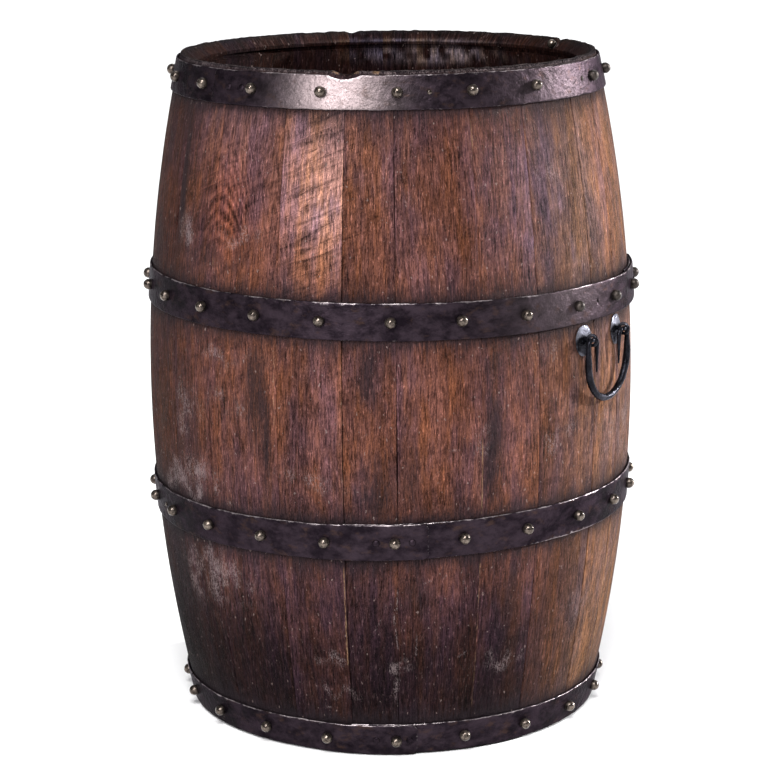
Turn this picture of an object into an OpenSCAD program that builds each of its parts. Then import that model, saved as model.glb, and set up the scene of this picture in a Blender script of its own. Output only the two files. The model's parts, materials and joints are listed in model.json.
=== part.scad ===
// Open-topped oak wine barrel.
//
// Coopered staves bent to a bilge and held by four riveted iron hoops.
// A boarded head sits in the bottom croze, and the top is open.
// Dome-headed nails pin every hoop to the staves.
// Two forged drop handles hang from spiked eyes below the upper bilge hoop.
//
// Millimetres. The origin is the centre of the bottom rim and +Z is up.
// Azimuth 0 is the front (-Y) and grows towards +X.

/* [Barrel] */
// Height over the ends of the staves
barrel_h = 950; // [940:1:960]
// Outside diameter of the wood at mid height, the bilge
bilge_d = 700; // [690:1:710]
// Outside diameter of the wood at both ends
end_d = 590; // [584:1:596]
// Thickness of a stave
stave_t = 27; // [25:0.5:28]

/* [Stave ends] */
// Width of the flat rim left outside the chime bevel
rim_w = 11; // [9:0.5:13]
// Height of the chime bevel cut on the inner edge of each end
chime_h = 14; // [12:0.5:16]
// Distance from the stave end to the croze, the groove for a head
croze_in = 20; // [19:0.5:22]
// Height of the croze
croze_w = 6.5; // [5.5:0.1:7]
// Depth of the croze
croze_depth = 5; // [4:0.5:6]

/* [Bottom head] */
// Thickness of the head boards
head_t = 18; // [16:1:20]
// Number of head boards
board_count = 6; // [6:1:6]
// Play of the head's tongue in the croze
croze_fit = 0.15; // [0.1:0.05:0.3]
// Length of the bevel from a board's face out to its tongue
head_bevel = 11; // [8:1:14]
// Diameter of the dowels between the boards
dowel_d = 8; // [6:1:10]
// Length of those dowels
dowel_len = 44; // [30:1:50]

/* [Hoops] */
// Thickness of the hoop iron
hoop_t = 3.5; // [3:0.1:4]
// Width of the two end hoops
end_hoop_w = 45; // [42:1:47]
// Width of the two bilge hoops
bilge_hoop_w = 49; // [46:1:51]
// Height of the bottom hoop above the bottom rim
bottom_hoop_in = 3; // [2:0.5:6]
// Depth of the top hoop below the top rim
top_hoop_in = 6.5; // [4:0.5:8]
// Height of the middle of the lower bilge hoop
low_hoop_z = 322.5; // [315:0.5:330]
// Height of the middle of the upper bilge hoop
high_hoop_z = 623.5; // [618:0.5:626]
// Lean of the lower bilge hoop, raising its right side, in degrees
low_hoop_lean = 0.84; // [0:0.02:1]
// Lean of the upper bilge hoop, lowering its right side, in degrees
high_hoop_lean = 0.5; // [0:0.02:0.7]

/* [Nails] */
// Diameter of a nail's domed head
nail_head_d = 15.5; // [14:0.5:17]
// Height of the head above the hoop
nail_head_h = 10.8; // [9:0.1:11.5]
// Diameter of the nail shank
nail_shank_d = 4.5; // [4:0.1:5]
// Depth a nail goes into the stave
nail_in = 17; // [14:1:18]
// Diameter of the low head of a lap rivet
rivet_head_d = 10; // [9:0.5:11]
// Height of that head
rivet_head_h = 2; // [1.6:0.1:2.4]
// Diameter of the head of a small tack
tack_head_d = 7; // [6:0.5:8]
// Diameter of the shank of a tack
tack_shank_d = 3; // [2.5:0.1:3.2]

/* [Handles] */
// Azimuth of the first handle, the other is opposite
handle_az = 57; // [56:0.5:58]
// Height of the pivot line
handle_z = 573; // [570:0.5:574]
// Distance from the barrel wall out to the pivot line
pivot_out = 10.5; // [10.5:0.1:12]
// Distance from one eye to the other
eye_span = 92; // [90:1:94]
// Drop of the bail below its pivot line
bail_drop = 88; // [84:1:92]
// Diameter of the bail at the grip
grip_d = 10.4; // [9:0.1:10.6]
// Diameter of the bail where it runs through the eyes
run_d = 6.8; // [6.4:0.1:7]
// Diameter of the hole in an eye
eye_hole_d = 8.8; // [8.6:0.1:9.2]
// Thickness of the iron round that hole
eye_wire_d = 5.2; // [5:0.1:5.4]
// Diameter of the spike behind an eye
spike_d = 6; // [5:0.5:6.5]
// Depth the spike goes into the stave
spike_in = 22; // [18:1:23]
// Width of the plate behind an eye
plate_w = 37; // [34:1:38]
// Height of that plate
plate_h = 43; // [41:1:44]
// Distance of the middle of that plate below its eye
plate_low = 2; // [1:0.5:3]
// Thickness at the middle of that plate
plate_t = 3.6; // [3:0.1:4]

/* [Hidden] */
$fa = 3;
$fs = 1;
// Play left round every shank so that neighbours touch without overlapping
play = 0.05;
// Angle taken by each stave, going round from the first seam
stave_deg = [
    13.9, 19.4, 15.4, 12.0, 19.2, 14.8, 18.6, 11.8,
    14.6, 15.4, 17.8, 19.8, 16.6, 14.4, 17.4, 10.8,
    18.8, 15.4, 14.0, 15.4, 16.6, 12.0, 15.9
];
// Azimuth of the first seam
first_seam = -59.5;
stave_count = len(stave_deg);

bilge_r = bilge_d / 2;
end_r = end_d / 2;
// Straight steps that the bent profile of a stave is drawn with
profile_steps = 16;

// Outside radius of the wood at height z, a parabola from end to end
function wall_r(z) = bilge_r - (bilge_r - end_r) * pow(2 * z / barrel_h - 1, 2);
// Inclination of the wall at height z, positive where it flares upwards
function wall_tilt(z) = atan(-4 * (bilge_r - end_r) / barrel_h * (2 * z / barrel_h - 1));
// Sum of the first n entries of a list
function sum_to(list, n) = n <= 0 ? 0 : list[n - 1] + sum_to(list, n - 1);
// Azimuth where stave i starts
function seam(i) = first_seam + sum_to(stave_deg, i);
// Evenly spaced azimuths from a to b, both ends included
function run(a, b, n) = [for (i = [0:n - 1]) a + (b - a) * i / (n - 1)];
// The same without its two ends
function between(a, b, n) = [for (i = [1:n]) a + (b - a) * i / (n + 1)];
// Azimuth difference folded into -180 to 180
function fold(a) = a - 360 * floor((a + 180) / 360);

// Middle heights of the four hoops, bottom to top
hoop_mid = [
    bottom_hoop_in + end_hoop_w / 2,
    low_hoop_z,
    high_hoop_z,
    barrel_h - top_hoop_in - end_hoop_w / 2
];
hoop_width = [end_hoop_w, bilge_hoop_w, bilge_hoop_w, end_hoop_w];
hoop_lean = [0, low_hoop_lean, -high_hoop_lean, 0];
// Each lap as [azimuth of the outer end, azimuth where the strip starts to rise]
hoop_lap = [[6, -26], [8, -26], [96, 58], [-50, -12]];
// Angle over which a strip climbs on to its own start, and the steps it climbs in
joggle_deg = 15;
joggle_steps = 3;

// Nail azimuths on each hoop
nails_bottom = concat(run(-54.1, 55.2, 7), between(55.2, 305.9, 13));
nails_low = concat(run(-62.3, 63.3, 9), between(63.3, 297.7, 15));
nails_high = concat(run(-62.8, 62.8, 9), between(62.8, 297.2, 15));
nails_top = concat(run(-54.8, 40.1, 6), run(66.5, 286.5, 13));
nails = [nails_bottom, nails_low, nails_high, nails_top];
// Rivet azimuths on each hoop, beside the nail in the lap
rivets = [[-4.6, 4.0], [-3.6, 4.4], [82.3, 87.2], [-43.8, -39.4]];
// Tack azimuths on each hoop
tacks = [[], [-68], [], [10.2, 60.2]];
// Azimuth of an old nail hole left open in the upper bilge hoop
open_hole = 55;

// Height of a hoop's middle line at azimuth a
function hoop_z(h, a) = hoop_mid[h] + sin(hoop_lean[h]) * wall_r(hoop_mid[h]) * sin(a);
// Which way a lap runs, and its length from the start of the rise
function lap_way(h) = sign(hoop_lap[h][0] - hoop_lap[h][1]);
function lap_len(h) = abs(hoop_lap[h][0] - hoop_lap[h][1]);
// Layers of iron at azimuth a, growing in steps over the joggle
function layers(h, a) =
    let (s = fold(a - hoop_lap[h][1]) * lap_way(h))
    s <= 0 || s >= lap_len(h) ? 1
    : s >= joggle_deg ? 2
    : 1 + ceil(s * joggle_steps / joggle_deg) / (joggle_steps + 1);
// Distance from the wood out to the highest iron under a head at azimuth a
function iron_top(h, a) =
    play + hoop_t * max(layers(h, a - head_deg), layers(h, a), layers(h, a + head_deg));
// Half the azimuth that a head covers
head_deg = 1.5;

pivot_r = wall_r(handle_z) + pivot_out;
eye_r = (eye_hole_d + eye_wire_d) / 2;
// Azimuth of an eye away from the middle of its handle
eye_az = asin(eye_span / 2 / wall_r(handle_z));
bend_r = 7;
leg_x = eye_span / 2 + 3 + bend_r;
tail_x = eye_span / 2 - 7 - bend_r;
tail_len = 40;
tail_tip_d = 2.4;
// Knob nailed square to the bevel inside the rim
knob_az = 117.5;
knob_in = 10.5;
knob_len = 14;
// Inward run of the chime bevel over its height, and how far its normal leans
bevel_run = end_r - rim_w - wall_r(barrel_h - chime_h) + stave_t;
bevel_lean = atan2(chime_h, bevel_run);
// Depth a tack goes into the stave
tack_in = 10;

iron = [0.16, 0.14, 0.15];
nail_metal = [0.42, 0.38, 0.32];
handle_iron = [0.07, 0.07, 0.08];
oak = [0.36, 0.20, 0.12];
head_oak = [0.42, 0.26, 0.16];

// ---------------------------------------------------------------- placing

// Turns the children from the front (-Y) to azimuth a
module turn(a) {
    rotate([0, 0, a]) children();
}

// Puts the children on the wall with their +Z along the outward normal
module on_wall(a, z, lift = 0) {
    turn(a)
        translate([0, -wall_r(z), z])
            rotate([90 + wall_tilt(z), 0, 0])
                translate([0, 0, lift])
                    children();
}

// Puts the children on the top chime bevel, d below the rim, +Z along its normal
module on_bevel(a, d) {
    turn(a)
        translate([0, -(end_r - rim_w - bevel_run * d / chime_h), barrel_h - d])
            rotate([-bevel_lean, 0, 0])
                children();
}

// Revolves a profile from azimuth a over an angle of w degrees
module sector(a, w) {
    rotate([0, 0, a - 90]) rotate_extrude(angle = w) children();
}

// Puts the children, drawn facing -Y, at both handles' stations
module at_handle(side) {
    turn(handle_az + side * 180)
        translate([0, -pivot_r, handle_z])
            children();
}

// ----------------------------------------------------------------- staves

// Cross-section of a stave in the plane of radius and height
module stave_profile() {
    outer = [for (i = [0:profile_steps])
        let (z = barrel_h * i / profile_steps) [wall_r(z), z]];
    croze_out = barrel_h - croze_in;
    inner_top = croze_out - croze_w;
    inner_low = croze_in + croze_w;
    inner = [for (i = [0:profile_steps])
        let (z = inner_top - (inner_top - inner_low) * i / profile_steps)
            [wall_r(z) - stave_t, z]];
    top_end = [
        [end_r - rim_w, barrel_h],
        [wall_r(barrel_h - chime_h) - stave_t, barrel_h - chime_h],
        [wall_r(croze_out) - stave_t, croze_out],
        [wall_r(croze_out) - stave_t + croze_depth, croze_out],
        [wall_r(inner_top) - stave_t + croze_depth, inner_top]
    ];
    low_end = [
        [wall_r(inner_low) - stave_t + croze_depth, inner_low],
        [wall_r(croze_in) - stave_t + croze_depth, croze_in],
        [wall_r(croze_in) - stave_t, croze_in],
        [wall_r(chime_h) - stave_t, chime_h],
        [end_r - rim_w, 0]
    ];
    polygon(concat(outer, top_end, inner, low_end));
}

// Pilot hole of diameter d and the given depth below hoop h at azimuth a
module nail_bore(h, a, d, depth) {
    on_wall(a, hoop_z(h, a), -depth)
        cylinder(d = d + 2 * play, h = depth + 8);
}

// Pilot hole for the spike of an eye
module spike_bore(side, s) {
    at_handle(side)
        translate([s * eye_span / 2, 0, 0])
            rotate([-90, 0, 0])
                cylinder(d = spike_d + 2 * play, h = spike_reach() + 0.5);
}

// Length from the pivot line to the tip of a spike
function spike_reach() =
    pivot_r - sqrt(pow(wall_r(handle_z), 2) - pow(eye_span / 2, 2)) + spike_in;

// Hole for the shank of the rim knob
module knob_bore() {
    on_bevel(knob_az, knob_in)
        translate([0, 0, -knob_len - 0.5])
            cylinder(d = nail_shank_d + 2 * play, h = knob_len + 8);
}

// True when azimuth a lies in stave i or just beside it
function near_stave(i, a) =
    abs(fold(a - (seam(i) + stave_deg[i] / 2))) < stave_deg[i] / 2 + 1;

module stave(i) {
    color(oak)
        difference() {
            sector(seam(i), stave_deg[i]) stave_profile();
            for (h = [0:3]) {
                for (a = nails[h])
                    if (near_stave(i, a))
                        nail_bore(h, a, nail_shank_d, nail_in + 0.5);
                for (a = tacks[h])
                    if (near_stave(i, a))
                        nail_bore(h, a, tack_shank_d, tack_in + 0.5);
            }
            for (side = [0, 1])
                for (s = [-1, 1])
                    if (near_stave(i, handle_az + side * 180 + s * eye_az))
                        spike_bore(side, s);
            if (near_stave(i, knob_az))
                knob_bore();
        }
}

module stave_01() { stave(0); }
module stave_02() { stave(1); }
module stave_03() { stave(2); }
module stave_04() { stave(3); }
module stave_05() { stave(4); }
module stave_06() { stave(5); }
module stave_07() { stave(6); }
module stave_08() { stave(7); }
module stave_09() { stave(8); }
module stave_10() { stave(9); }
module stave_11() { stave(10); }
module stave_12() { stave(11); }
module stave_13() { stave(12); }
module stave_14() { stave(13); }
module stave_15() { stave(14); }
module stave_16() { stave(15); }
module stave_17() { stave(16); }
module stave_18() { stave(17); }
module stave_19() { stave(18); }
module stave_20() { stave(19); }
module stave_21() { stave(20); }
module stave_22() { stave(21); }
module stave_23() { stave(22); }

// ------------------------------------------------------------ bottom head

// Radius of the tongue, short of the croze's floor
tongue_r = wall_r(croze_in) - stave_t + croze_depth - 0.3;
// Radius where the bevels meet the tongue, clear of the staves' inner faces
neck_r = wall_r(croze_in) - stave_t - 0.6;
tongue_low = croze_in + croze_fit;
tongue_high = croze_in + croze_w - croze_fit;
head_low = (tongue_low + tongue_high - head_t) / 2;
head_high = head_low + head_t;
board_w = 2 * tongue_r / board_count;

// Half cross-section of the whole head
module head_profile() {
    polygon([
        [0, head_low],
        [neck_r - head_bevel, head_low],
        [neck_r, tongue_low],
        [tongue_r, tongue_low],
        [tongue_r, tongue_high],
        [neck_r, tongue_high],
        [neck_r - head_bevel, head_high],
        [0, head_high]
    ]);
}

// The dowels of the joint between board j and board j + 1
module joint_dowels(j, extra) {
    x = -tongue_r + (j + 1) * board_w;
    reach = sqrt(pow(neck_r - head_bevel, 2) - pow(abs(x) + dowel_len / 2, 2)) * 0.55;
    for (s = [-1, 1])
        translate([x - dowel_len / 2 - extra, s * reach, (head_low + head_high) / 2])
            rotate([0, 90, 0])
                cylinder(d = dowel_d + 2 * extra, h = dowel_len + 2 * extra);
}

module head_board(j) {
    color(head_oak)
        difference() {
            intersection() {
                rotate_extrude() head_profile();
                translate([-tongue_r + j * board_w, -tongue_r - 1, 0])
                    cube([board_w, 2 * tongue_r + 2, head_high + 1]);
            }
            if (j > 0)
                joint_dowels(j - 1, play);
            if (j < board_count - 1)
                joint_dowels(j, play);
        }
}

module head_board_1() { head_board(0); }
module head_board_2() { head_board(1); }
module head_board_3() { head_board(2); }
module head_board_4() { head_board(3); }
module head_board_5() { head_board(4); }
module head_board_6() { head_board(5); }

module head_dowels() {
    color(head_oak)
        for (j = [0:board_count - 2])
            joint_dowels(j, 0);
}

// ------------------------------------------------------------------ hoops

// Height of step i of n across hoop h, widened by m at each edge
function strip_z(h, i, n, m) =
    hoop_mid[h] + (hoop_width[h] / 2 + m) * (2 * i / n - 1);

// Ring of iron two layers thick all round, m taller than the hoop each way
module double_ring(h, m) {
    n = 4;
    inner = [for (i = [0:n]) let (z = strip_z(h, i, n, m)) [wall_r(z) + play, z]];
    outer = [for (i = [n:-1:0])
        let (z = strip_z(h, i, n, m)) [wall_r(z) + play + 2 * hoop_t, z]];
    rotate_extrude() polygon(concat(outer, inner));
}

// Space outside the first l layers of hoop h, from azimuth a over w degrees
module beyond_layers(h, a, w, l) {
    n = 6;
    near = [for (i = [0:n])
        let (z = strip_z(h, i, n, 14)) [wall_r(z) + play + l * hoop_t, z]];
    far = [[bilge_r + 30, strip_z(h, n, n, 14)], [bilge_r + 30, strip_z(h, 0, n, 14)]];
    sector(a, w) polygon(concat(near, far));
}

// Strip that laps over itself: single iron, then a joggle in steps, then two layers
module strip_round(h, m) {
    way = lap_way(h);
    rise = hoop_lap[h][1];
    step = joggle_deg / joggle_steps;
    difference() {
        double_ring(h, m);
        beyond_layers(h, max(rise, hoop_lap[h][0]), 360 - lap_len(h), 1);
        for (i = [1:joggle_steps])
            beyond_layers(h, way > 0 ? rise - 3 - i : rise - step * i, step * i + 3 + i,
                1 + i / (joggle_steps + 1));
    }
}

// Strip of a hoop that sits level, or is cut to lean
module blank(h) {
    if (hoop_lean[h] == 0)
        strip_round(h, 0);
    else
        intersection() {
            strip_round(h, 8);
            translate([0, 0, hoop_mid[h]])
                rotate([0, -hoop_lean[h], 0])
                    cylinder(r = bilge_r + 40, h = hoop_width[h], center = true);
        }
}

// Hole of diameter d through hoop h at azimuth a
module hoop_hole(h, a, d) {
    on_wall(a, hoop_z(h, a), -2)
        cylinder(d = d + 2 * play, h = 12);
}

module hoop(h) {
    color(iron)
        difference() {
            blank(h);
            for (a = concat(nails[h], rivets[h]))
                hoop_hole(h, a, nail_shank_d);
            for (a = tacks[h])
                hoop_hole(h, a, tack_shank_d);
            if (h == 2)
                hoop_hole(h, open_hole, tack_shank_d);
        }
}

module hoop_bottom() { hoop(0); }
module hoop_lower_bilge() { hoop(1); }
module hoop_upper_bilge() { hoop(2); }
module hoop_top() { hoop(3); }

// ------------------------------------------------------- nails and rivets

// Domed head of diameter d and height h, its flat base at z = 0
module dome(d, h) {
    flat_r = (pow(d / 2, 2) + h * h) / (2 * h);
    ball_r = h > d / 2 ? d / 2 : flat_r;
    intersection() {
        translate([0, 0, h - ball_r]) sphere(r = ball_r);
        cylinder(r = d, h = h + 1);
    }
}

// Nail with its head's base at z = 0 and its shank going in by reach
module nail(reach) {
    dome(nail_head_d, nail_head_h);
    translate([0, 0, -reach])
        cylinder(d = nail_shank_d, h = reach + 1);
}

module hoop_nails(h) {
    color(nail_metal)
        for (a = nails[h])
            on_wall(a, hoop_z(h, a), iron_top(h, a) + play)
                nail(iron_top(h, a) + nail_in);
}

module nails_bottom_hoop() { hoop_nails(0); }
module nails_lower_bilge_hoop() { hoop_nails(1); }
module nails_upper_bilge_hoop() { hoop_nails(2); }
module nails_top_hoop() { hoop_nails(3); }

// Low-headed rivets through both layers of each lap, ending flush inside
module lap_rivets() {
    color(iron)
        for (h = [0:3])
            for (a = rivets[h])
                on_wall(a, hoop_z(h, a), iron_top(h, a) + play) {
                    dome(rivet_head_d, rivet_head_h);
                    translate([0, 0, play - iron_top(h, a)])
                        cylinder(d = nail_shank_d, h = iron_top(h, a) + 1);
                }
}

// Small tacks through single iron into the wood
module hoop_tacks() {
    color(nail_metal)
        for (h = [0:3])
            for (a = tacks[h])
                on_wall(a, hoop_z(h, a), iron_top(h, a) + play) {
                    dome(tack_head_d, tack_head_d / 4);
                    translate([0, 0, -iron_top(h, a) - tack_in])
                        cylinder(d = tack_shank_d, h = iron_top(h, a) + tack_in + 1);
                }
}

// Dome-headed knob nailed into the bevel inside the rim
module rim_knob() {
    color(nail_metal)
        on_bevel(knob_az, knob_in)
            translate([0, 0, 0.15]) {
                dome(nail_head_d - 1.5, nail_head_h - 0.5);
                translate([0, 0, -knob_len])
                    cylinder(d = nail_shank_d, h = knob_len + 1);
            }
}

// ---------------------------------------------------------------- handles

// Leaf-shaped plate, its back at z = 0 and the hole for the eye's spike at the origin
module plate() {
    arc_r = (pow(plate_w / 2, 2) + pow(plate_h / 2 + 2, 2)) / plate_w;
    dome_r = 85;
    difference() {
        translate([0, -plate_low, 0]) intersection() {
            translate([arc_r - plate_w / 2, 0, 0]) cylinder(r = arc_r, h = plate_t + 1);
            translate([plate_w / 2 - arc_r, 0, 0]) cylinder(r = arc_r, h = plate_t + 1);
            cylinder(d = plate_h, h = plate_t + 1);
            translate([0, 0, plate_t - dome_r]) sphere(r = dome_r, $fn = 360);
        }
        translate([0, 0, -1]) cylinder(d = spike_d + 1.4, h = plate_t + 2);
    }
}

module handle_plates(side) {
    color(handle_iron)
        for (s = [-1, 1])
            on_wall(handle_az + side * 180 + s * eye_az, handle_z, play)
                plate();
}

// Eye with its hole along X at the origin and its spike running inwards (+Y)
module eye() {
    rotate([0, 90, 0])
        rotate_extrude()
            translate([eye_r, 0]) circle(d = eye_wire_d);
    translate([0, eye_r, 0])
        rotate([-90, 0, 0])
            cylinder(d = spike_d, h = spike_reach() - eye_r);
}

module handle_eyes(side) {
    color(handle_iron)
        at_handle(side)
            for (s = [-1, 1])
                translate([s * eye_span / 2, 0, 0])
                    eye();
}

// Quarter bend in the XZ plane about the origin from angle a, wire diameter d
module bend(a, w, radius, d) {
    rotate([90, 0, 0])
        rotate([0, 0, a])
            rotate_extrude(angle = w)
                translate([radius, 0]) circle(d = d);
}

// Half of the bail on the +X side, pivot line along X through the origin
module bail_half() {
    leg_len = bail_drop - bend_r - leg_x;
    // Grip, a quarter of the U
    translate([0, 0, -bail_drop + leg_x])
        bend(270, 90, leg_x, grip_d);
    // Leg tapering up to the run
    translate([leg_x, 0, -bail_drop + leg_x])
        cylinder(d1 = grip_d, d2 = run_d, h = leg_len);
    // Bend over the outer side of the eye, run through it, bend down again
    translate([leg_x - bend_r, 0, -bend_r])
        bend(0, 90, bend_r, run_d);
    translate([tail_x + bend_r, 0, 0])
        rotate([0, 90, 0])
            cylinder(d = run_d, h = leg_x - tail_x - 2 * bend_r);
    translate([tail_x + bend_r, 0, -bend_r])
        bend(90, 90, bend_r, run_d);
    // Pointed tail
    translate([tail_x, 0, -bend_r - tail_len])
        cylinder(d1 = tail_tip_d, d2 = run_d, h = tail_len);
}

module bail(side) {
    color(handle_iron)
        at_handle(side) {
            bail_half();
            mirror([1, 0, 0]) bail_half();
        }
}

module handle_right_plates() { handle_plates(0); }
module handle_right_eyes() { handle_eyes(0); }
module handle_right_bail() { bail(0); }
module handle_left_plates() { handle_plates(1); }
module handle_left_eyes() { handle_eyes(1); }
module handle_left_bail() { bail(1); }

// ------------------------------------------------------------------ nodes

stave_01();
stave_02();
stave_03();
stave_04();
stave_05();
stave_06();
stave_07();
stave_08();
stave_09();
stave_10();
stave_11();
stave_12();
stave_13();
stave_14();
stave_15();
stave_16();
stave_17();
stave_18();
stave_19();
stave_20();
stave_21();
stave_22();
stave_23();
head_board_1();
head_board_2();
head_board_3();
head_board_4();
head_board_5();
head_board_6();
head_dowels();
hoop_bottom();
hoop_lower_bilge();
hoop_upper_bilge();
hoop_top();
nails_bottom_hoop();
nails_lower_bilge_hoop();
nails_upper_bilge_hoop();
nails_top_hoop();
lap_rivets();
hoop_tacks();
rim_knob();
handle_right_plates();
handle_right_eyes();
handle_right_bail();
handle_left_plates();
handle_left_eyes();
handle_left_bail();
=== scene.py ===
"""Oak wine barrel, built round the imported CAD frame: staves, head, hoops, nails and two bails."""

import json
import math

import bpy
import numpy as np
from mathutils import Matrix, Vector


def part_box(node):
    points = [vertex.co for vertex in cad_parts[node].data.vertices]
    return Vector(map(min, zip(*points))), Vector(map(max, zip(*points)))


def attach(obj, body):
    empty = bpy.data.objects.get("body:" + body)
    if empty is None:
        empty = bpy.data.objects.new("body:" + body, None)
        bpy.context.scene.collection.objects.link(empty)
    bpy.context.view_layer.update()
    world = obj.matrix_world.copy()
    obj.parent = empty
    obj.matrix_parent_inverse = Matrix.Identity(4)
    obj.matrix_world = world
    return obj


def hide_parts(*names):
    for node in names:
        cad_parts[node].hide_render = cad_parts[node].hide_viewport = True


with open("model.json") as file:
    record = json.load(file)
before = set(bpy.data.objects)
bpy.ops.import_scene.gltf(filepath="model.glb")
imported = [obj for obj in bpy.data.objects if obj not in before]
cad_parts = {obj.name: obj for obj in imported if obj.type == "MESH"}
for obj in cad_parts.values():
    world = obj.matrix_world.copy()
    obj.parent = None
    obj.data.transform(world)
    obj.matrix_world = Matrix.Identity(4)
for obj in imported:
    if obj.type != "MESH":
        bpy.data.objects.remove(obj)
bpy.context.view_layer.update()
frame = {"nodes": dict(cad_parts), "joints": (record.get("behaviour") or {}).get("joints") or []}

MM = 0.001
TAU = 2 * math.pi
# Kind and field of a mesh attribute by how many numbers a point has
ATTRIBUTE_KINDS = {1: ("FLOAT", "value"), 3: ("FLOAT_VECTOR", "vector"), 4: ("FLOAT_COLOR", "color")}


# ---- measuring the frame


def node_points(node):
    """The vertices of a CAD node, in metres."""
    mesh = frame["nodes"][node].data
    co = np.empty(len(mesh.vertices) * 3)
    mesh.vertices.foreach_get("co", co)
    return co.reshape(-1, 3)


def azimuth_of(p):
    """Angle round the barrel in degrees, 0 at the front (-Y) and growing to +X."""
    return np.degrees(np.arctan2(p[..., 0], -p[..., 1]))


def fold(a):
    """An angle in degrees folded into -180 to 180."""
    return (np.asarray(a) + 180.0) % 360.0 - 180.0


def span_of(node):
    """Azimuths where a stave begins and ends."""
    p = node_points(node)
    middle = azimuth_of(p.mean(0))
    rest = fold(azimuth_of(p) - middle)
    return middle + rest.min(), middle + rest.max()


STAVES = [n for n in sorted(frame["nodes"]) if n.startswith("stave_")]
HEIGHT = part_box(STAVES[0])[1].z
_wood = np.vstack([node_points(n) for n in STAVES])
_wood_r = np.hypot(_wood[:, 0], _wood[:, 1])
BILGE_R = _wood_r.max()
END_R = _wood_r[_wood[:, 2] > HEIGHT - 0.5 * MM].max()
STAVE_T = 27 * MM
RIM_W = 11 * MM


def wall_r(z):
    """Radius of the wood's outside at height z."""
    return BILGE_R - (BILGE_R - END_R) * (2 * np.asarray(z) / HEIGHT - 1) ** 2


def wall_slope(z):
    """Rate at which the outside radius grows with height."""
    return -4 * (BILGE_R - END_R) / HEIGHT * (2 * np.asarray(z) / HEIGHT - 1)


def on_wall(azimuth, z, lift=0.0):
    """Point at an azimuth in degrees and a height, lift metres off the wall along its normal."""
    a = np.radians(azimuth)
    tilt = np.arctan(-wall_slope(z))
    r = wall_r(z) + lift * np.cos(tilt)
    return np.stack(
        np.broadcast_arrays(r * np.sin(a), -r * np.cos(a), z + lift * np.sin(tilt)), -1
    )


def wall_axes(azimuth, z):
    """Unit vectors round the barrel, up the wall and out of it."""
    a = math.radians(azimuth)
    tilt = math.atan(-float(wall_slope(z)))
    across = np.array([math.cos(a), math.sin(a), 0.0])
    out = np.array(
        [math.cos(tilt) * math.sin(a), -math.cos(tilt) * math.cos(a), math.sin(tilt)]
    )
    return across, np.cross(out, across), out


def fastener_places(node, widest_gap=1.2, rows=100 * MM):
    """(azimuth, height, apex lift) of each head in a node of nails, rivets or tacks."""
    p = node_points(node)
    level = np.round(p[:, 2] / rows)
    places = []
    for one in np.unique(level):
        places += places_in_row(p[level == one], widest_gap)
    return places


def places_in_row(p, widest_gap):
    """The same for the heads of one hoop, told apart by the gaps between their azimuths."""
    a = azimuth_of(p)
    order = np.argsort(a)
    p, a = p[order], a[order]
    cuts = np.where(np.diff(a) > widest_gap)[0] + 1
    groups = np.split(np.arange(len(a)), cuts)
    if len(groups) > 1 and a[0] + 360 - a[-1] < widest_gap:
        groups[0] = np.concatenate([groups[-1], groups[0]])
        groups.pop()
    places = []
    for g in groups:
        q = p[g]
        middle = azimuth_of(q.mean(0))
        rest = fold(azimuth_of(q) - middle)
        middle += (rest.min() + rest.max()) / 2
        z = q[:, 2].mean()
        for _ in range(4):
            across, up, out = wall_axes(middle, z)
            along = (q - on_wall(middle, z)) @ up
            z += (along.min() + along.max()) / 2 * math.cos(math.atan(float(wall_slope(z))))
        lift = ((q - on_wall(middle, z)) @ wall_axes(middle, z)[2]).max()
        places.append((middle, z, lift))
    return places


# ---- seeded noise


def lattice(i, j, seed):
    """Repeatable random numbers from -1 to 1 on whole-number points."""
    n = (i * 374761393 + j * 668265263 + seed * 1442695041) & 0xFFFFFFFF
    n = ((n ^ (n >> 13)) * 1274126177) & 0xFFFFFFFF
    return ((n ^ (n >> 16)) & 0xFFFF) / 32767.5 - 1


def noise(x, y, seed=0):
    """Smooth noise from -1 to 1."""
    x, y = np.broadcast_arrays(np.asarray(x, float), np.asarray(y, float))
    i, j = np.floor(x).astype(np.int64), np.floor(y).astype(np.int64)
    u, v = x - i, y - j
    u, v = u * u * (3 - 2 * u), v * v * (3 - 2 * v)
    low = lattice(i, j, seed) * (1 - u) + lattice(i + 1, j, seed) * u
    high = lattice(i, j + 1, seed) * (1 - u) + lattice(i + 1, j + 1, seed) * u
    return low * (1 - v) + high * v


def layered(x, y, seed=0, octaves=3):
    """Noise with finer noise added to it."""
    total, size = 0.0, 0.0
    for k in range(octaves):
        total = total + noise(x * 2**k, y * 2**k, seed + 17 * k) / 2**k
        size += 1 / 2**k
    return total / size


def smooth(x):
    """Smooth step from 0 to 1."""
    x = np.clip(x, 0, 1)
    return x * x * (3 - 2 * x)


def spot(azimuth, z, at, height, half_az, half_z):
    """Soft patch from 0 to 1 about an azimuth in degrees and a height in mm."""
    x = fold(azimuth - at) / half_az
    y = (z / MM - height) / half_z
    return np.exp(-(x**2 + y**2))


def stripe(azimuth, z, at, low, high, half_az, soft=25.0):
    """Soft vertical stripe from 0 to 1 between two heights in mm."""
    x = fold(azimuth - at) / half_az
    zz = z / MM
    ends = smooth((zz - low) / soft + 0.5) * smooth((high - zz) / soft + 0.5)
    return np.exp(-(x**2)) * ends


# ---- mesh building


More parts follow.
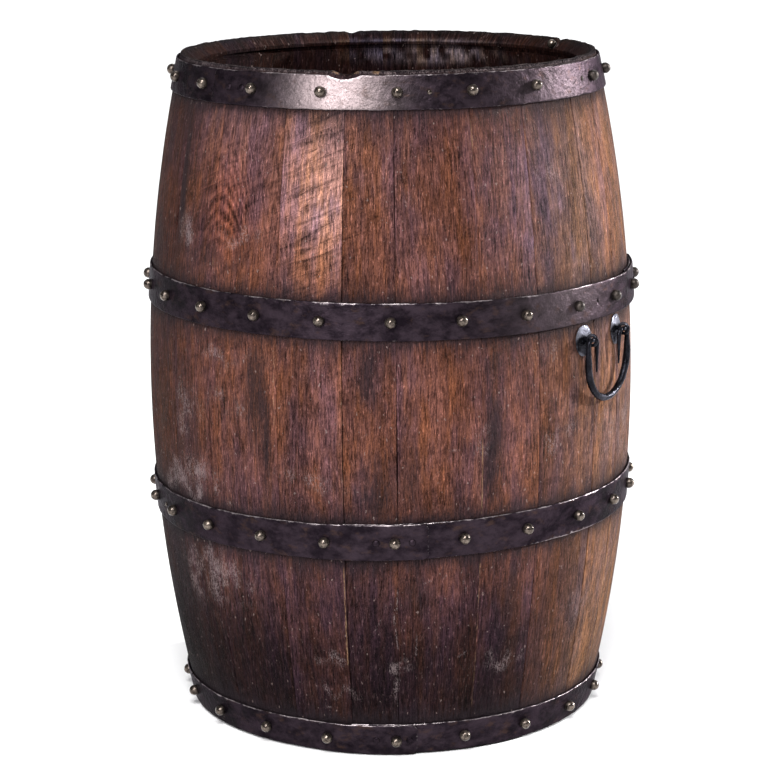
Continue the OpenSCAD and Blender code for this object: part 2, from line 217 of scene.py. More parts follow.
def make_mesh(name, points, quads, tris=(), attributes=None, sharp=50):
    """Mesh object from arrays, shaded smooth with sharp edges above an angle."""
    mesh = bpy.data.meshes.new(name)
    points = np.ascontiguousarray(points, dtype=np.float32).reshape(-1, 3)
    quads = np.asarray(quads, np.int32).reshape(-1, 4)
    tris = np.asarray(tris, np.int32).reshape(-1, 3)
    mesh.vertices.add(len(points))
    mesh.vertices.foreach_set("co", points.ravel())
    corners = np.concatenate([quads.ravel(), tris.ravel()])
    mesh.loops.add(len(corners))
    mesh.loops.foreach_set("vertex_index", corners)
    starts = np.concatenate([np.arange(len(quads)) * 4, quads.size + np.arange(len(tris)) * 3])
    mesh.polygons.add(len(quads) + len(tris))
    mesh.polygons.foreach_set("loop_start", starts.astype(np.int32))
    mesh.update(calc_edges=True)
    mesh.validate()
    mesh.shade_smooth()
    mesh.set_sharp_from_angle(angle=math.radians(sharp))
    for key, values in (attributes or {}).items():
        values = np.ascontiguousarray(values, np.float32).reshape(len(points), -1)
        kind, field = ATTRIBUTE_KINDS[values.shape[1]]
        mesh.attributes.new(key, kind, "POINT").data.foreach_set(field, values.ravel())
    return add_object(name, mesh)


def add_object(name, data):
    obj = bpy.data.objects.new(name, data)
    bpy.context.scene.collection.objects.link(obj)
    return obj


def opaque(colour):
    """Colours with a fourth column of ones."""
    return np.concatenate([colour, np.ones((len(colour), 1))], 1)


def grid_quads(rows, columns, wrap_rows=False, wrap_columns=False, start=0):
    """Quads of a grid of points numbered row by row."""
    r = np.arange(rows if wrap_rows else rows - 1)
    c = np.arange(columns if wrap_columns else columns - 1)
    rr, cc = np.meshgrid(r, c, indexing="ij")
    r2, c2 = (rr + 1) % rows, (cc + 1) % columns
    quads = np.stack(
        [rr * columns + cc, rr * columns + c2, r2 * columns + c2, r2 * columns + cc], -1
    )
    return quads.reshape(-1, 4) + start


def joined(parts):
    """Parts given as (points, quads, tris, further columns) made into one mesh's arrays."""
    starts = np.cumsum([0] + [len(part[0]) for part in parts])
    columns = [list(column) for column in zip(*parts)]
    for k, corners in ((1, 4), (2, 3)):
        faces = [np.reshape(np.array(f, int), (-1, corners)) for f in columns[k]]
        columns[k] = [f + start for f, start in zip(faces, starts)]
    return [np.concatenate(column) for column in columns]


def cone(ids, tip, flip=False):
    """Triangles from a ring of vertices to one point."""
    tris = [(a, b, tip) for a, b in zip(ids, ids[1:] + ids[:1])]
    return [t[::-1] for t in tris] if flip else tris


def fan(ids, flip=False):
    """Triangles closing a loop of vertices from its first one."""
    tris = [(ids[0], a, b) for a, b in zip(ids[1:], ids[2:])]
    return [t[::-1] for t in tris] if flip else tris


def placed_on_wall(local, azimuth, z, lift):
    """Points drawn flat about a foot, moved to stand off the wall at an azimuth and height."""
    return on_wall(azimuth, z, lift) + local @ np.array(wall_axes(azimuth, z))


def finish_piece(obj, material, body, slot, *nodes):
    """A piece given its material and body, shown in place of its CAD nodes. The slot argument is not used.
    """
    obj.data.materials.append(material)
    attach(obj, body)
    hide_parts(*nodes)
    return obj


# ---- material graphs


class Value:
    """A node's output; sums and products of it add nodes, and a triple tints a colour."""

    def __init__(self, graph, socket):
        self.graph, self.socket = graph, socket

    def __add__(self, other):
        return self.graph.math("ADD", self, other)

    def __sub__(self, other):
        return self.graph.math("SUBTRACT", self, other)

    def __rsub__(self, other):
        return self.graph.math("SUBTRACT", other, self)

    def __mul__(self, other):
        kind = self.graph.vector if isinstance(other, tuple) else self.graph.math
        return kind("MULTIPLY", self, other)

    def __abs__(self):
        return self.graph.math("ABSOLUTE", self)


class Graph:
    """Short names for building a node material."""

    def __init__(self, name):
        self.material = bpy.data.materials.new(name)
        self.material.use_nodes = True
        self.tree = self.material.node_tree
        self.tree.nodes.clear()
        self.shader = self.tree.nodes.new("ShaderNodeBsdfPrincipled")
        out = self.tree.nodes.new("ShaderNodeOutputMaterial")
        self.tree.links.new(self.shader.outputs[0], out.inputs[0])

    def put(self, socket, value):
        if isinstance(value, Value):
            self.tree.links.new(value.socket, socket)
        elif isinstance(value, tuple) and len(value) < len(socket.default_value):
            socket.default_value = (*value, 1.0)
        else:
            socket.default_value = value

    def node(self, kind, inputs, output=0, **settings):
        """An output of a new node with its settings made and its inputs filled."""
        node = self.tree.nodes.new("ShaderNode" + kind)
        for key, value in settings.items():
            setattr(node, key, value)
        for key, value in inputs.items():
            self.put(node.inputs[key], value)
        return Value(self, node.outputs[output])

    def attribute(self, name, output="Fac"):
        return self.node("Attribute", {}, output, attribute_name=name)

    def parts(self, value, kind="SeparateColor"):
        first = self.node(kind, {0: value})
        return [Value(self, socket) for socket in first.socket.node.outputs]

    def math(self, kind, a, b=0.0, clamp=False):
        return self.node("Math", {0: a, 1: b}, operation=kind, use_clamp=clamp)

    def vector(self, kind, a, b):
        return self.node("VectorMath", {0: a, 1: b}, operation=kind)

    def noise(self, where, size, detail=3.0, rough=0.55, warp=0.0):
        """Noise of 0 to 1 with the coordinates multiplied by size."""
        inputs = {"Scale": 1.0, "Detail": detail, "Roughness": rough, "Distortion": warp}
        return self.node("TexNoise", {"Vector": where * size, **inputs})

    def range(self, value, a, b, c=0.0, d=1.0):
        """Value stretched smoothly from the range a..b to c..d, and held at its ends."""
        inputs = dict(enumerate((value, a, b, c, d)))
        return self.node("MapRange", inputs, interpolation_type="SMOOTHSTEP")

    def mix(self, share, a, b):
        inputs = {0: share, 6: a, 7: b}
        return self.node("Mix", inputs, 2, data_type="RGBA", clamp_factor=True)

    def bump(self, height, distance, strength, after=None):
        inputs = {"Height": height, "Distance": distance, "Strength": strength}
        if after is not None:
            inputs["Normal"] = after
        return self.node("Bump", inputs)

    def finish(self, **values):
        """The material, with these values or nodes at its shader's inputs."""
        for key, value in values.items():
            self.put(self.shader.inputs[key.replace("_", " ")], value)
        return self.material


def oak_material():
    """Old oak: long grain, pores, rays, iron stains, scuffs and bare chips."""
    g = Graph("old_oak")
    grain = g.attribute("grain", "Vector")
    tone = g.attribute("tone", "Color")
    scuff, stain, bare = g.parts(g.attribute("marks", "Color"))
    gloss = g.attribute("marks", "Alpha")
    rings, arcs, ripple = g.parts(g.attribute("figure", "Vector"), "SeparateXYZ")
    sway = (g.noise(grain, (7, 2.2, 7), 2) - 0.5) * 0.02
    along = g.vector("ADD", grain, g.node("CombineXYZ", {0: sway}))
    turned = g.node("VectorRotate", {"Vector": grain, "Angle": -0.42}, rotation_type="Z_AXIS")

    broad = g.noise(along, (44, 2.2, 44), 5, 0.62)
    middle = g.noise(along, (310, 30, 310), 5, 0.70)
    fine = g.noise(along, (520, 62, 520), 4, 0.72)
    grit = g.noise(grain, (520, 300, 520), 3, 0.7)
    pores = g.range(g.noise(along, (560, 50, 560), 3, 0.6), 0.55, 0.66)
    patch = g.noise(grain, (24, 11, 24), 6, 0.68)
    wave = g.noise(turned, (17, 125, 17), 3, 0.5, 0.8)
    ring_part = g.math("SINE", rings + patch * 7.0) * arcs * 0.42

    # Light and dark of the grain
    level = (broad - 0.5) * 1.0 + (middle - 0.5) * 3.2 + (fine - 0.5) * 1.8
    level = level + (grit - 0.5) * 1.6 + (patch - 0.5) * 1.7
    # The ripple also lightens and darkens the colour in waves: painted light and shade of the rippled
    # surface, on top of its bump
    level = level + (wave - 0.5) * 3.0 * ripple + ring_part + 1.0
    level = g.math("MAXIMUM", level, 0.12)
    colour = g.vector("MULTIPLY", tone, g.node("CombineXYZ", {0: level, 1: level, 2: level}))

    # Hues, pores, cracks and chips, each as its share and what it does to the colour
    colour = g.mix(arcs * 0.6, colour, colour * (1.25, 0.92, 0.82))
    hue = g.range(g.noise(grain, (13, 6, 13), 4, 0.62), 0.38, 0.62)
    colour = g.mix(hue, colour * (0.91, 0.95, 1.08), colour * (1.13, 1.02, 0.80))
    warm = g.range(g.noise(along, (50, 5.0, 50), 5, 0.65), 0.40, 0.64)
    colour = g.mix(warm, colour * (0.84, 0.86, 1.06), colour * (1.12, 1.02, 0.86))
    colour = g.mix(pores * 0.6, colour, colour * (0.25, 0.24, 0.30))
    ridge = abs(g.noise(along, (190, 14, 190), 4, 0.62) - 0.5)
    line = 1.0 - g.range(ridge, 0.0, 0.035)
    colour = g.mix(line * 0.62, colour, colour * (0.24, 0.23, 0.27))
    chips = g.range(g.noise(along, (380, 70, 380), 4, 0.72), 0.57, 0.65)
    chipped = g.vector("ADD", colour, (0.022, 0.016, 0.015)) * (2.4, 2.3, 2.3)
    colour = g.mix(chips * 0.62, colour, chipped)

    stain_share = g.range(stain + (middle - 0.5) * 2.2, 0.08, 0.95) * g.range(stain, 0.0, 0.12)
    colour = g.mix(stain_share * 0.86, colour, (0.020, 0.015, 0.018))

    flecks = g.noise(grain, (430, 130, 430), 5, 0.75)
    flecks = g.range(flecks + scuff * 0.17, 0.60, 0.72)
    strokes = abs(g.noise(turned, (260, 120, 260), 3, 0.6) - 0.5)
    strokes = (1.0 - g.range(strokes, 0.0, 0.030)) * g.range(scuff, 0.05, 0.7)
    scuff_share = g.math("MAXIMUM", flecks * 0.7, strokes) * g.range(scuff, 0.02, 0.35)
    colour = g.mix(scuff_share * 0.64, colour, (0.36, 0.28, 0.28))
    nicks = g.range(g.noise(grain, (190, 110, 190), 2, 0.5), 0.69, 0.73)
    colour = g.mix(nicks * 0.48, colour, (0.34, 0.25, 0.23))

    bare_share = g.range(bare + (fine - 0.5) * 0.9, 0.25, 0.75) * g.range(bare, 0.0, 0.1)
    bare_wood = g.mix(g.range(fine, 0.35, 0.65), (0.20, 0.095, 0.045), (0.42, 0.27, 0.16))
    colour = g.mix(bare_share, colour, bare_wood)

    height = middle * 0.60 + fine * 0.30 - pores * 0.14 + grit * 0.12 - line * 0.10
    normal = g.bump(height + ring_part * 0.5, 6.5 * MM, 1.0)
    normal = g.bump(g.noise(grain, (75, 28, 75), 3, 0.6), 5.0 * MM, 0.8, normal)
    normal = g.bump(wave * ripple, 9.0 * MM, 1.0, normal)

    rough = g.range(patch * 0.5 + middle * 0.5, 0.35, 0.68, 0.54, 0.80) - gloss * 0.34
    dusty = g.math("MAXIMUM", scuff_share, bare_share)
    rough = g.math("ADD", rough, dusty * 0.2, clamp=True)
    return g.finish(Base_Color=colour, Roughness=rough, Normal=normal, Specular_IOR_Level=0.035)


def iron_material():
    """Hammered hoop iron: dark scale, a little rust, bright edges that are partly worn and partly painted
    highlight, painted highlight and sheen patches, and painted shade at rivet feet and in the old nail
    hole.
    """
    g = Graph("hoop_iron")
    grain = g.attribute("grain", "Vector")
    wear_and_highlight_at, painted_shade_at, polish = (g.attribute(name) for name in ("worn", "shade", "polish"))
    cloud = g.noise(grain, (34, 52, 34), 5, 0.68)
    grit = g.noise(grain, (420, 420, 420), 4, 0.65)
    speck = g.noise(grain, (150, 190, 150), 3, 0.6)
    colour = g.mix(g.range(cloud, 0.34, 0.68), (0.009, 0.006, 0.009), (0.036, 0.025, 0.033))
    # Painted highlight and sheen
    colour = g.mix(polish * 0.85, colour, (0.36, 0.29, 0.29))
    rust = g.range(g.noise(grain, (48, 70, 48), 4, 0.65), 0.54, 0.72)
    colour = g.mix(rust * 0.55, colour, (0.060, 0.034, 0.026))
    colour = g.mix(g.range(grit, 0.52, 0.72) * 0.5, colour, (0.020, 0.017, 0.020))
    worn = g.range(wear_and_highlight_at + (speck - 0.5) * 1.1, 0.22, 0.75) * g.range(wear_and_highlight_at, 0.0, 0.1)
    # Bright edges: worn iron, and painted highlight along the top edges
    colour = g.mix(worn * 0.9, colour, (0.46, 0.40, 0.41))
    # Painted shade: rivet feet and the old nail hole
    colour = g.mix(painted_shade_at, colour, (0.006, 0.005, 0.006))
    rough = g.range(cloud * 0.6 + grit * 0.4, 0.36, 0.66, 0.34, 0.50) - worn * 0.12
    normal = g.bump(g.noise(grain, (60, 75, 60), 2, 0.5), 1.6 * MM, 0.8)
    normal = g.bump(speck, 1.1 * MM, 0.8, normal)
    normal = g.bump(grit, 0.5 * MM, 0.55, normal)
    return g.finish(
        Base_Color=colour, Roughness=rough, Normal=normal,
        Metallic=0.75, Specular_IOR_Level=0.15, Specular_Tint=(0.30, 0.27, 0.31),
    )


def nail_material():
    """Nail heads: rubbed pewter-brown metal, with painted shade round the foot, towards the rim and over
    the heads near the handles.
    """
    g = Graph("nail_metal")
    grain = g.attribute("grain", "Vector")
    foot = g.attribute("shade")
    cloud = g.noise(grain, (190, 190, 190), 4, 0.6)
    pits = g.range(g.noise(grain, (900, 900, 900), 3, 0.6), 0.56, 0.72)
    colour = g.mix(g.range(cloud, 0.36, 0.66), (0.050, 0.039, 0.033), (0.200, 0.162, 0.134))
    colour = g.mix(pits * 0.6, colour, (0.06, 0.045, 0.035))
    # Painted shade
    colour = g.mix(foot, colour, (0.022, 0.018, 0.018))
    rough = g.math("ADD", g.range(cloud, 0.34, 0.68, 0.17, 0.32), foot * 0.3, clamp=True)
    normal = g.bump(g.noise(grain, (260, 260, 260), 2, 0.5), 0.7 * MM, 0.5)
    return g.finish(Base_Color=colour, Roughness=rough, Normal=normal, Metallic=0.85)


def handle_material():
    """Black forged iron with an oily gloss, lighter on the worn grip and plate rims, and with a painted
    highlight on the plates' upper halves and the eyes' tops.
    """
    g = Graph("handle_iron")
    grain = g.attribute("grain", "Vector")
    wear_and_highlight_at = g.attribute("worn")
    cloud = g.noise(grain, (70, 70, 70), 4, 0.6)
    grit = g.noise(grain, (600, 600, 600), 3, 0.6)
    colour = g.mix(g.range(cloud, 0.35, 0.68), (0.005, 0.005, 0.007), (0.016, 0.016, 0.021))
    colour = g.mix(g.range(grit, 0.56, 0.74) * 0.4, colour, (0.040, 0.024, 0.018))
    worn = g.range(wear_and_highlight_at + (cloud - 0.5) * 1.2, 0.3, 0.9) * g.range(wear_and_highlight_at, 0.0, 0.1)
    # Lighter: worn metal, and painted highlight on plates and eyes
    colour = g.mix(worn * 0.6, colour, (0.27, 0.27, 0.32))
    rough = g.range(cloud, 0.34, 0.68, 0.20, 0.32)
    normal = g.bump(g.noise(grain, (150, 150, 150), 2, 0.5), 1.2 * MM, 0.8)
    normal = g.bump(grit, 0.3 * MM, 0.5, normal)
    return g.finish(
        Base_Color=colour, Roughness=rough, Normal=normal,
        Metallic=0.6, Specular_IOR_Level=0.3, Specular_Tint=(0.45, 0.45, 0.52),
    )


# ---- where the wood is marked

# Opened seams and splits as (azimuth, low mm, high mm, width mm)
SEAM_GAPS = [
    (-10.8, 60, 890, 1.5), (1.2, 350, 505, 2.6), (1.2, 660, 880, 1.8), (35.2, 690, 890, 1.4),
    (-59.5, 660, 890, 1.0), (-26.2, 660, 890, 0.9), (20.4, 400, 590, 0.9), (-45.6, 360, 590, 1.0),
]
# Splits inside a stave as (azimuth, low mm, high mm, width mm, depth mm)
CHECKS = [
    (-44.2, 380, 560, 1.0, 2.5), (15.0, 190, 250, 0.9, 2.0), (-61.5, 700, 860, 1.2, 2.5),
    (0.4, 120, 240, 0.8, 1.6), (63.5, 120, 290, 0.8, 1.5), (36.4, 655, 780, 0.8, 1.6),
    (110.0, 400, 640, 1.2, 3.0), (152.0, 90, 280, 1.0, 2.2), (-120.0, 640, 880, 1.1, 2.5),
    (-96.0, 330, 520, 1.0, 2.0),
]
# Bluish-black stains as (azimuth, height mm, half azimuth, half height mm, strength)
STAINS = [
    (-31, 525, 3.5, 90, 0.9), (-29, 470, 1.5, 120, 0.8), (23.5, 440, 3.0, 95, 0.85),
    (24.0, 560, 2.5, 40, 0.6), (-5, 560, 3.0, 60, 0.75), (-4, 380, 6.0, 70, 0.7), (4, 400, 3.0, 70, 0.55),
    (-59.5, 790, 1.8, 125, 1.0), (-45, 690, 16.0, 24, 0.55), (-70, 690, 8.0, 60, 0.6),
    (26, 640, 8.0, 40, 0.4), (30, 250, 3.0, 60, 0.5), (-3, 880, 12.0, 18, 0.5), (-52, 420, 5.0, 60, 0.4),
    (4, 250, 6.0, 40, 0.5),
]
# Pale rubbed patches as (azimuth, height mm, half azimuth, half height mm, strength)
SCUFFS = [
    (-53, 385, 9, 36, 0.8), (-52, 365, 11, 14, 0.9), (-54, 480, 6, 38, 0.6), (-48, 245, 13, 34, 0.75),
    (-55, 225, 5, 40, 0.55), (-57, 715, 2.5, 26, 0.75), (-40, 560, 7, 10, 0.45), (-38, 500, 8, 22, 0.4),
    (-62, 365, 6, 20, 0.6), (-35, 730, 7, 18, 0.45), (0, 135, 5, 14, 0.65), (0.5, 100, 1.2, 22, 0.8),
    (26, 128, 8, 12, 0.6), (22, 450, 3, 30, 0.45), (40, 445, 8, 18, 0.35), (38, 560, 5, 14, 0.35),
    (60, 440, 6, 60, 0.35), (72, 420, 5, 50, 0.5), (42, 800, 8, 20, 0.3), (-16, 140, 6, 12, 0.35),
    (-16, 95, 7, 12, 0.35), (52, 180, 10, 40, 0.3), (3, 800, 6, 40, 0.25), (-20, 400, 10, 20, 0.3),
]
# Bare worn lines along a seam as (azimuth, low mm, high mm, half azimuth, strength)
BARE_LINES = [
    (20.5, 60, 290, 0.14, 0.42), (20.5, 352, 470, 0.22, 0.55), (20.5, 830, 890, 0.16, 0.5),
    (-11.2, 130, 290, 0.25, 0.55), (-11.0, 352, 590, 0.12, 0.42), (-26.8, 470, 590, 0.40, 0.36),
    (-26.4, 80, 290, 0.14, 0.3), (-44.9, 660, 700, 0.30, 0.4), (53.9, 470, 520, 0.30, 0.6),
    (66.0, 60, 290, 0.3, 0.5),
]
# Small scratches as (azimuth, height mm, length mm, lean in degrees, strength)
SCRATCHES = [
    (5.5, 165, 45, 4, 0.8), (16.5, 260, 50, -12, 0.6), (17, 150, 22, 60, 0.8), (8, 262, 16, 70, 0.7),
    (12, 268, 14, 40, 0.6), (-3.5, 200, 26, 25, 0.5), (1.0, 235, 40, 3, 0.8), (0.6, 190, 60, -6, 0.7),
    (14, 447, 24, 85, 0.6), (-17, 70, 16, 75, 0.7), (39, 552, 18, 35, 0.7), (26, 520, 26, 10, 0.5),
    (48, 800, 24, 30, 0.45), (-6, 470, 20, 55, 0.5), (33, 135, 26, 30, 0.6), (30, 220, 18, 60, 0.5),
]


def seam_gap(azimuth, z):
    """Width of the opening at a seam, in metres."""
    width = (0.45 + 0.25 * noise(azimuth * 3.1, z * 14, 5)) * MM
    for at, low, high, most in SEAM_GAPS:
        if abs(float(fold(azimuth - at))) < 0.6:
            zz = z / MM
            inside = smooth((zz - low) / 60) * smooth((high - zz) / 60)
            width = np.maximum(width, most * MM * inside * (0.8 + 0.3 * noise(z * 40, 0.5, 9)))
    return width


def wood_tone(azimuth, z, index):
    """Colour of the oak before its grain. Darker and bluer low and on the left: partly darker wood, partly
    painted shade. Lighter and more orange at the right: painted light from the side. Painted highlight on
    the stave at -26 to -11 degrees, painted light high on the front-left, painted lilac sheen on the
    right.
    """
    a, zz = fold(azimuth), z / MM
    drift = layered(a / 7.0, zz / 130.0, 40 + index, 3)
    # Masks: the right side is painted lighter as if lit from the side; on the left and low down painted
    # shade darkens the wood, together with darker, bluer wood there
    right = smooth((a - 26) / 34) * smooth((112 - a) / 30)
    left = smooth((-38 - a) / 30) * smooth((a + 150) / 30)
    low = smooth((430 - zz) / 330)
    rng = np.random.default_rng(300 + index)
    own = rng.uniform(0.86, 1.14)
    shade = own * (1.0 + 0.45 * drift) * (1 - 0.60 * left)
    shade = shade * (1 - 0.85 * low * (1 - 0.80 * right)) * (1 + 0.30 * right)
    own_stave = (a > -26.2) & (a < -10.8)
    # Painted highlight on the stave at -26 to -11 degrees and painted light high on the front-left; pale
    # whitens the colour under both as a painted reflection
    painted_highlight = np.clip(1.2 * spot(a, z, -14, 815, 11, 130), 0, 1) * own_stave
    painted_upper_light = smooth((a + 72) / 30) * smooth((14 - a) / 30) * smooth((zz - 690) / 200) * (1 - painted_highlight)
    shade = shade * (1 + 1.25 * painted_highlight + 0.30 * painted_upper_light)
    pale = 0.28 * painted_highlight + 0.10 * painted_upper_light
    # Painted lilac sheen on the right, as if a lamp reflected there
    painted_lilac_sheen = np.clip(1.3 * spot(a, z, 42, 760, 15, 170), 0, 1) * (1 + 0.4 * drift)
    tan = spot(a, z, 64, 780, 5, 150) + 0.5 * spot(a, z, 45, 170, 16, 90)
    shade = shade * (1 + 0.22 * tan) * (1 + 0.30 * own_stave * low)
    red = 0.142 * shade * (1 + 0.08 * tan) * (1 - 0.08 * low)
    green = 0.061 * shade * (1 + 0.20 * right) * (1 + 0.20 * painted_lilac_sheen + pale)
    blue = 0.047 * shade * (1 + 0.35 * low * (1 - right)) * (1 + 0.50 * painted_lilac_sheen + 1.5 * pale)
    return np.stack([red, green, blue], -1)


def marks_at(azimuth, z):
    """Scuff, stain, bare wood and gloss at points on the outside, each 0 to 1."""
    zz = z / MM
    wander = 2.0 * noise(zz / 60.0, azimuth / 7.0, 71)
    drift = 14 * noise(azimuth / 3.0, zz / 50.0, 72)
    scuff = np.zeros_like(z)
    for at, height, wide, tall, strength in SCUFFS:
        patch = spot(azimuth + wander, z + drift * MM, at, height, wide, tall)
        scuff = np.maximum(scuff, strength * patch)
    scuff = scuff * (1 + 0.9 * noise(azimuth / 2.1, zz / 17.0, 73))
    for at, height, length, lean, strength in SCRATCHES:
        along = math.radians(lean)
        x = fold(azimuth - at) * math.radians(1) * wall_r(z) / MM
        y = zz - height
        u = x * math.cos(along) - y * math.sin(along)
        v = x * math.sin(along) + y * math.cos(along)
        line = np.exp(-((u / 1.3) ** 2)) * smooth((length / 2 - np.abs(v)) / 4)
        scuff = np.maximum(scuff, strength * line)
    stain = np.zeros_like(z)
    for at, height, wide, tall, strength in STAINS:
        patch = spot(azimuth + wander * 0.5, z + drift * MM, at, height, wide, tall)
        stain = np.maximum(stain, strength * patch)
    for edge, side in HOOP_EDGES:
        away = (zz - edge(azimuth)) * side
        bleed = 23 + 9 * noise(azimuth / 2.0, edge(0) / 9.0, 81) + 5 * noise(azimuth * 1.7, edge(0), 82)
        stain = np.maximum(stain, 0.95 * np.exp(-np.maximum(away, 0) / bleed) * (away > -6))
    bare = np.zeros_like(z)
    for at, low, high, wide, strength in BARE_LINES:
        bare = np.maximum(bare, strength * stripe(azimuth, z, at, low, high, wide))
    gloss = 0.95 * spot(azimuth, z, -18, 800, 9, 110) + 0.25 * spot(azimuth, z, 45, 760, 16, 150)
    return np.stack([scuff, stain, bare, gloss], -1)


def figure_at(azimuth, z):
    """Growth arcs and ripples: ring phase, arc strength and ripple strength."""
    zz = z / MM
    x = fold(azimuth + 44) * 6.0 + 3.0 * noise(zz / 30.0, 0.5, 91)
    rings = (zz - 770 + 0.026 * x**2) * 0.34 + noise(azimuth / 3.0, zz / 40.0, 92) * 1.2
    arcs = spot(azimuth, z, -41, 765, 7, 68)
    x2 = fold(azimuth + 67) * 5.0
    rings2 = np.hypot(x2, (zz - 700) / 5.0)
    arcs2 = 0.8 * spot(azimuth, z, -67, 700, 5, 50)
    phase = np.where(arcs > arcs2, rings, rings2)
    ripple = spot(azimuth, z, -18, 790, 8.5, 130) + 0.35 * spot(azimuth, z, -44, 760, 14, 120) + 0.18
    return np.stack([phase, np.maximum(arcs, arcs2), ripple], -1)


# ---- staves

CROZE_IN, CROZE_W, CROZE_DEPTH, CHIME_H = 20.0, 6.5, 5.0, 14.0
# Chips out of the rim as (azimuth, half width in degrees, depth mm)
RIM_CHIPS = [
    (-11.0, 3.4, 8.5), (-3.0, 1.6, 2.0), (191.0, 2.2, 5.0), (118.5, 1.6, 9.0), (60, 3, 2.0), (-40, 3, 1.8),
]


def end_levels():
    """(outer height, inner height, inner set-back) in mm below the rim, from the croze outwards."""
    outer = [36, 32, 28, 24, 20.5, 17, 14, 11, 8, 5.5, 3.2, 1.4, 0]
    croze_out, croze_low = CROZE_IN, CROZE_IN + CROZE_W
    inner = [
        (36, 0), (31, 0), (croze_low + 0.3, 0), (croze_low, CROZE_DEPTH),
        ((croze_low + croze_out) / 2, CROZE_DEPTH), (croze_out, CROZE_DEPTH),
        (croze_out - 0.3, 0), (17, 0), (CHIME_H, 0), (9.5, None), (5, None), (1.5, None), (0, None),
    ]
    return [(o, i, back) for o, (i, back) in zip(outer, inner)]


def inner_r(depth_mm, back):
    """Radius of the inside at a depth below the rim; back is None on the chime bevel."""
    z = HEIGHT - depth_mm * MM
    if back is not None:
        return float(wall_r(z)) - STAVE_T + back * MM
    foot = float(wall_r(HEIGHT - CHIME_H * MM)) - STAVE_T
    return foot + (END_R - RIM_W - foot) * (1 - depth_mm / CHIME_H)


def stave_rows(step):
    """Outer and inner (radius, height) of every level, bottom to top."""
    top = [
        ((float(wall_r(HEIGHT - o * MM)), HEIGHT - o * MM), (inner_r(i, back), HEIGHT - i * MM))
        for o, i, back in end_levels()
    ]
    low = [((ro, HEIGHT - zo), (ri, HEIGHT - zi)) for (ro, zo), (ri, zi) in top[::-1]]
    z = np.linspace(36 * MM, HEIGHT - 36 * MM, int((HEIGHT - 72 * MM) / step))[1:-1]
    middle = [((float(r), float(h)), (float(r) - STAVE_T, float(h))) for r, h in zip(wall_r(z), z)]
    return low + middle + top


EDGE_MM = [0, 0.5, 1.2, 2.2, 3.6, 5.6]
DEPTHS = [0.0, 0.10, 0.3, 0.65, 1.0]


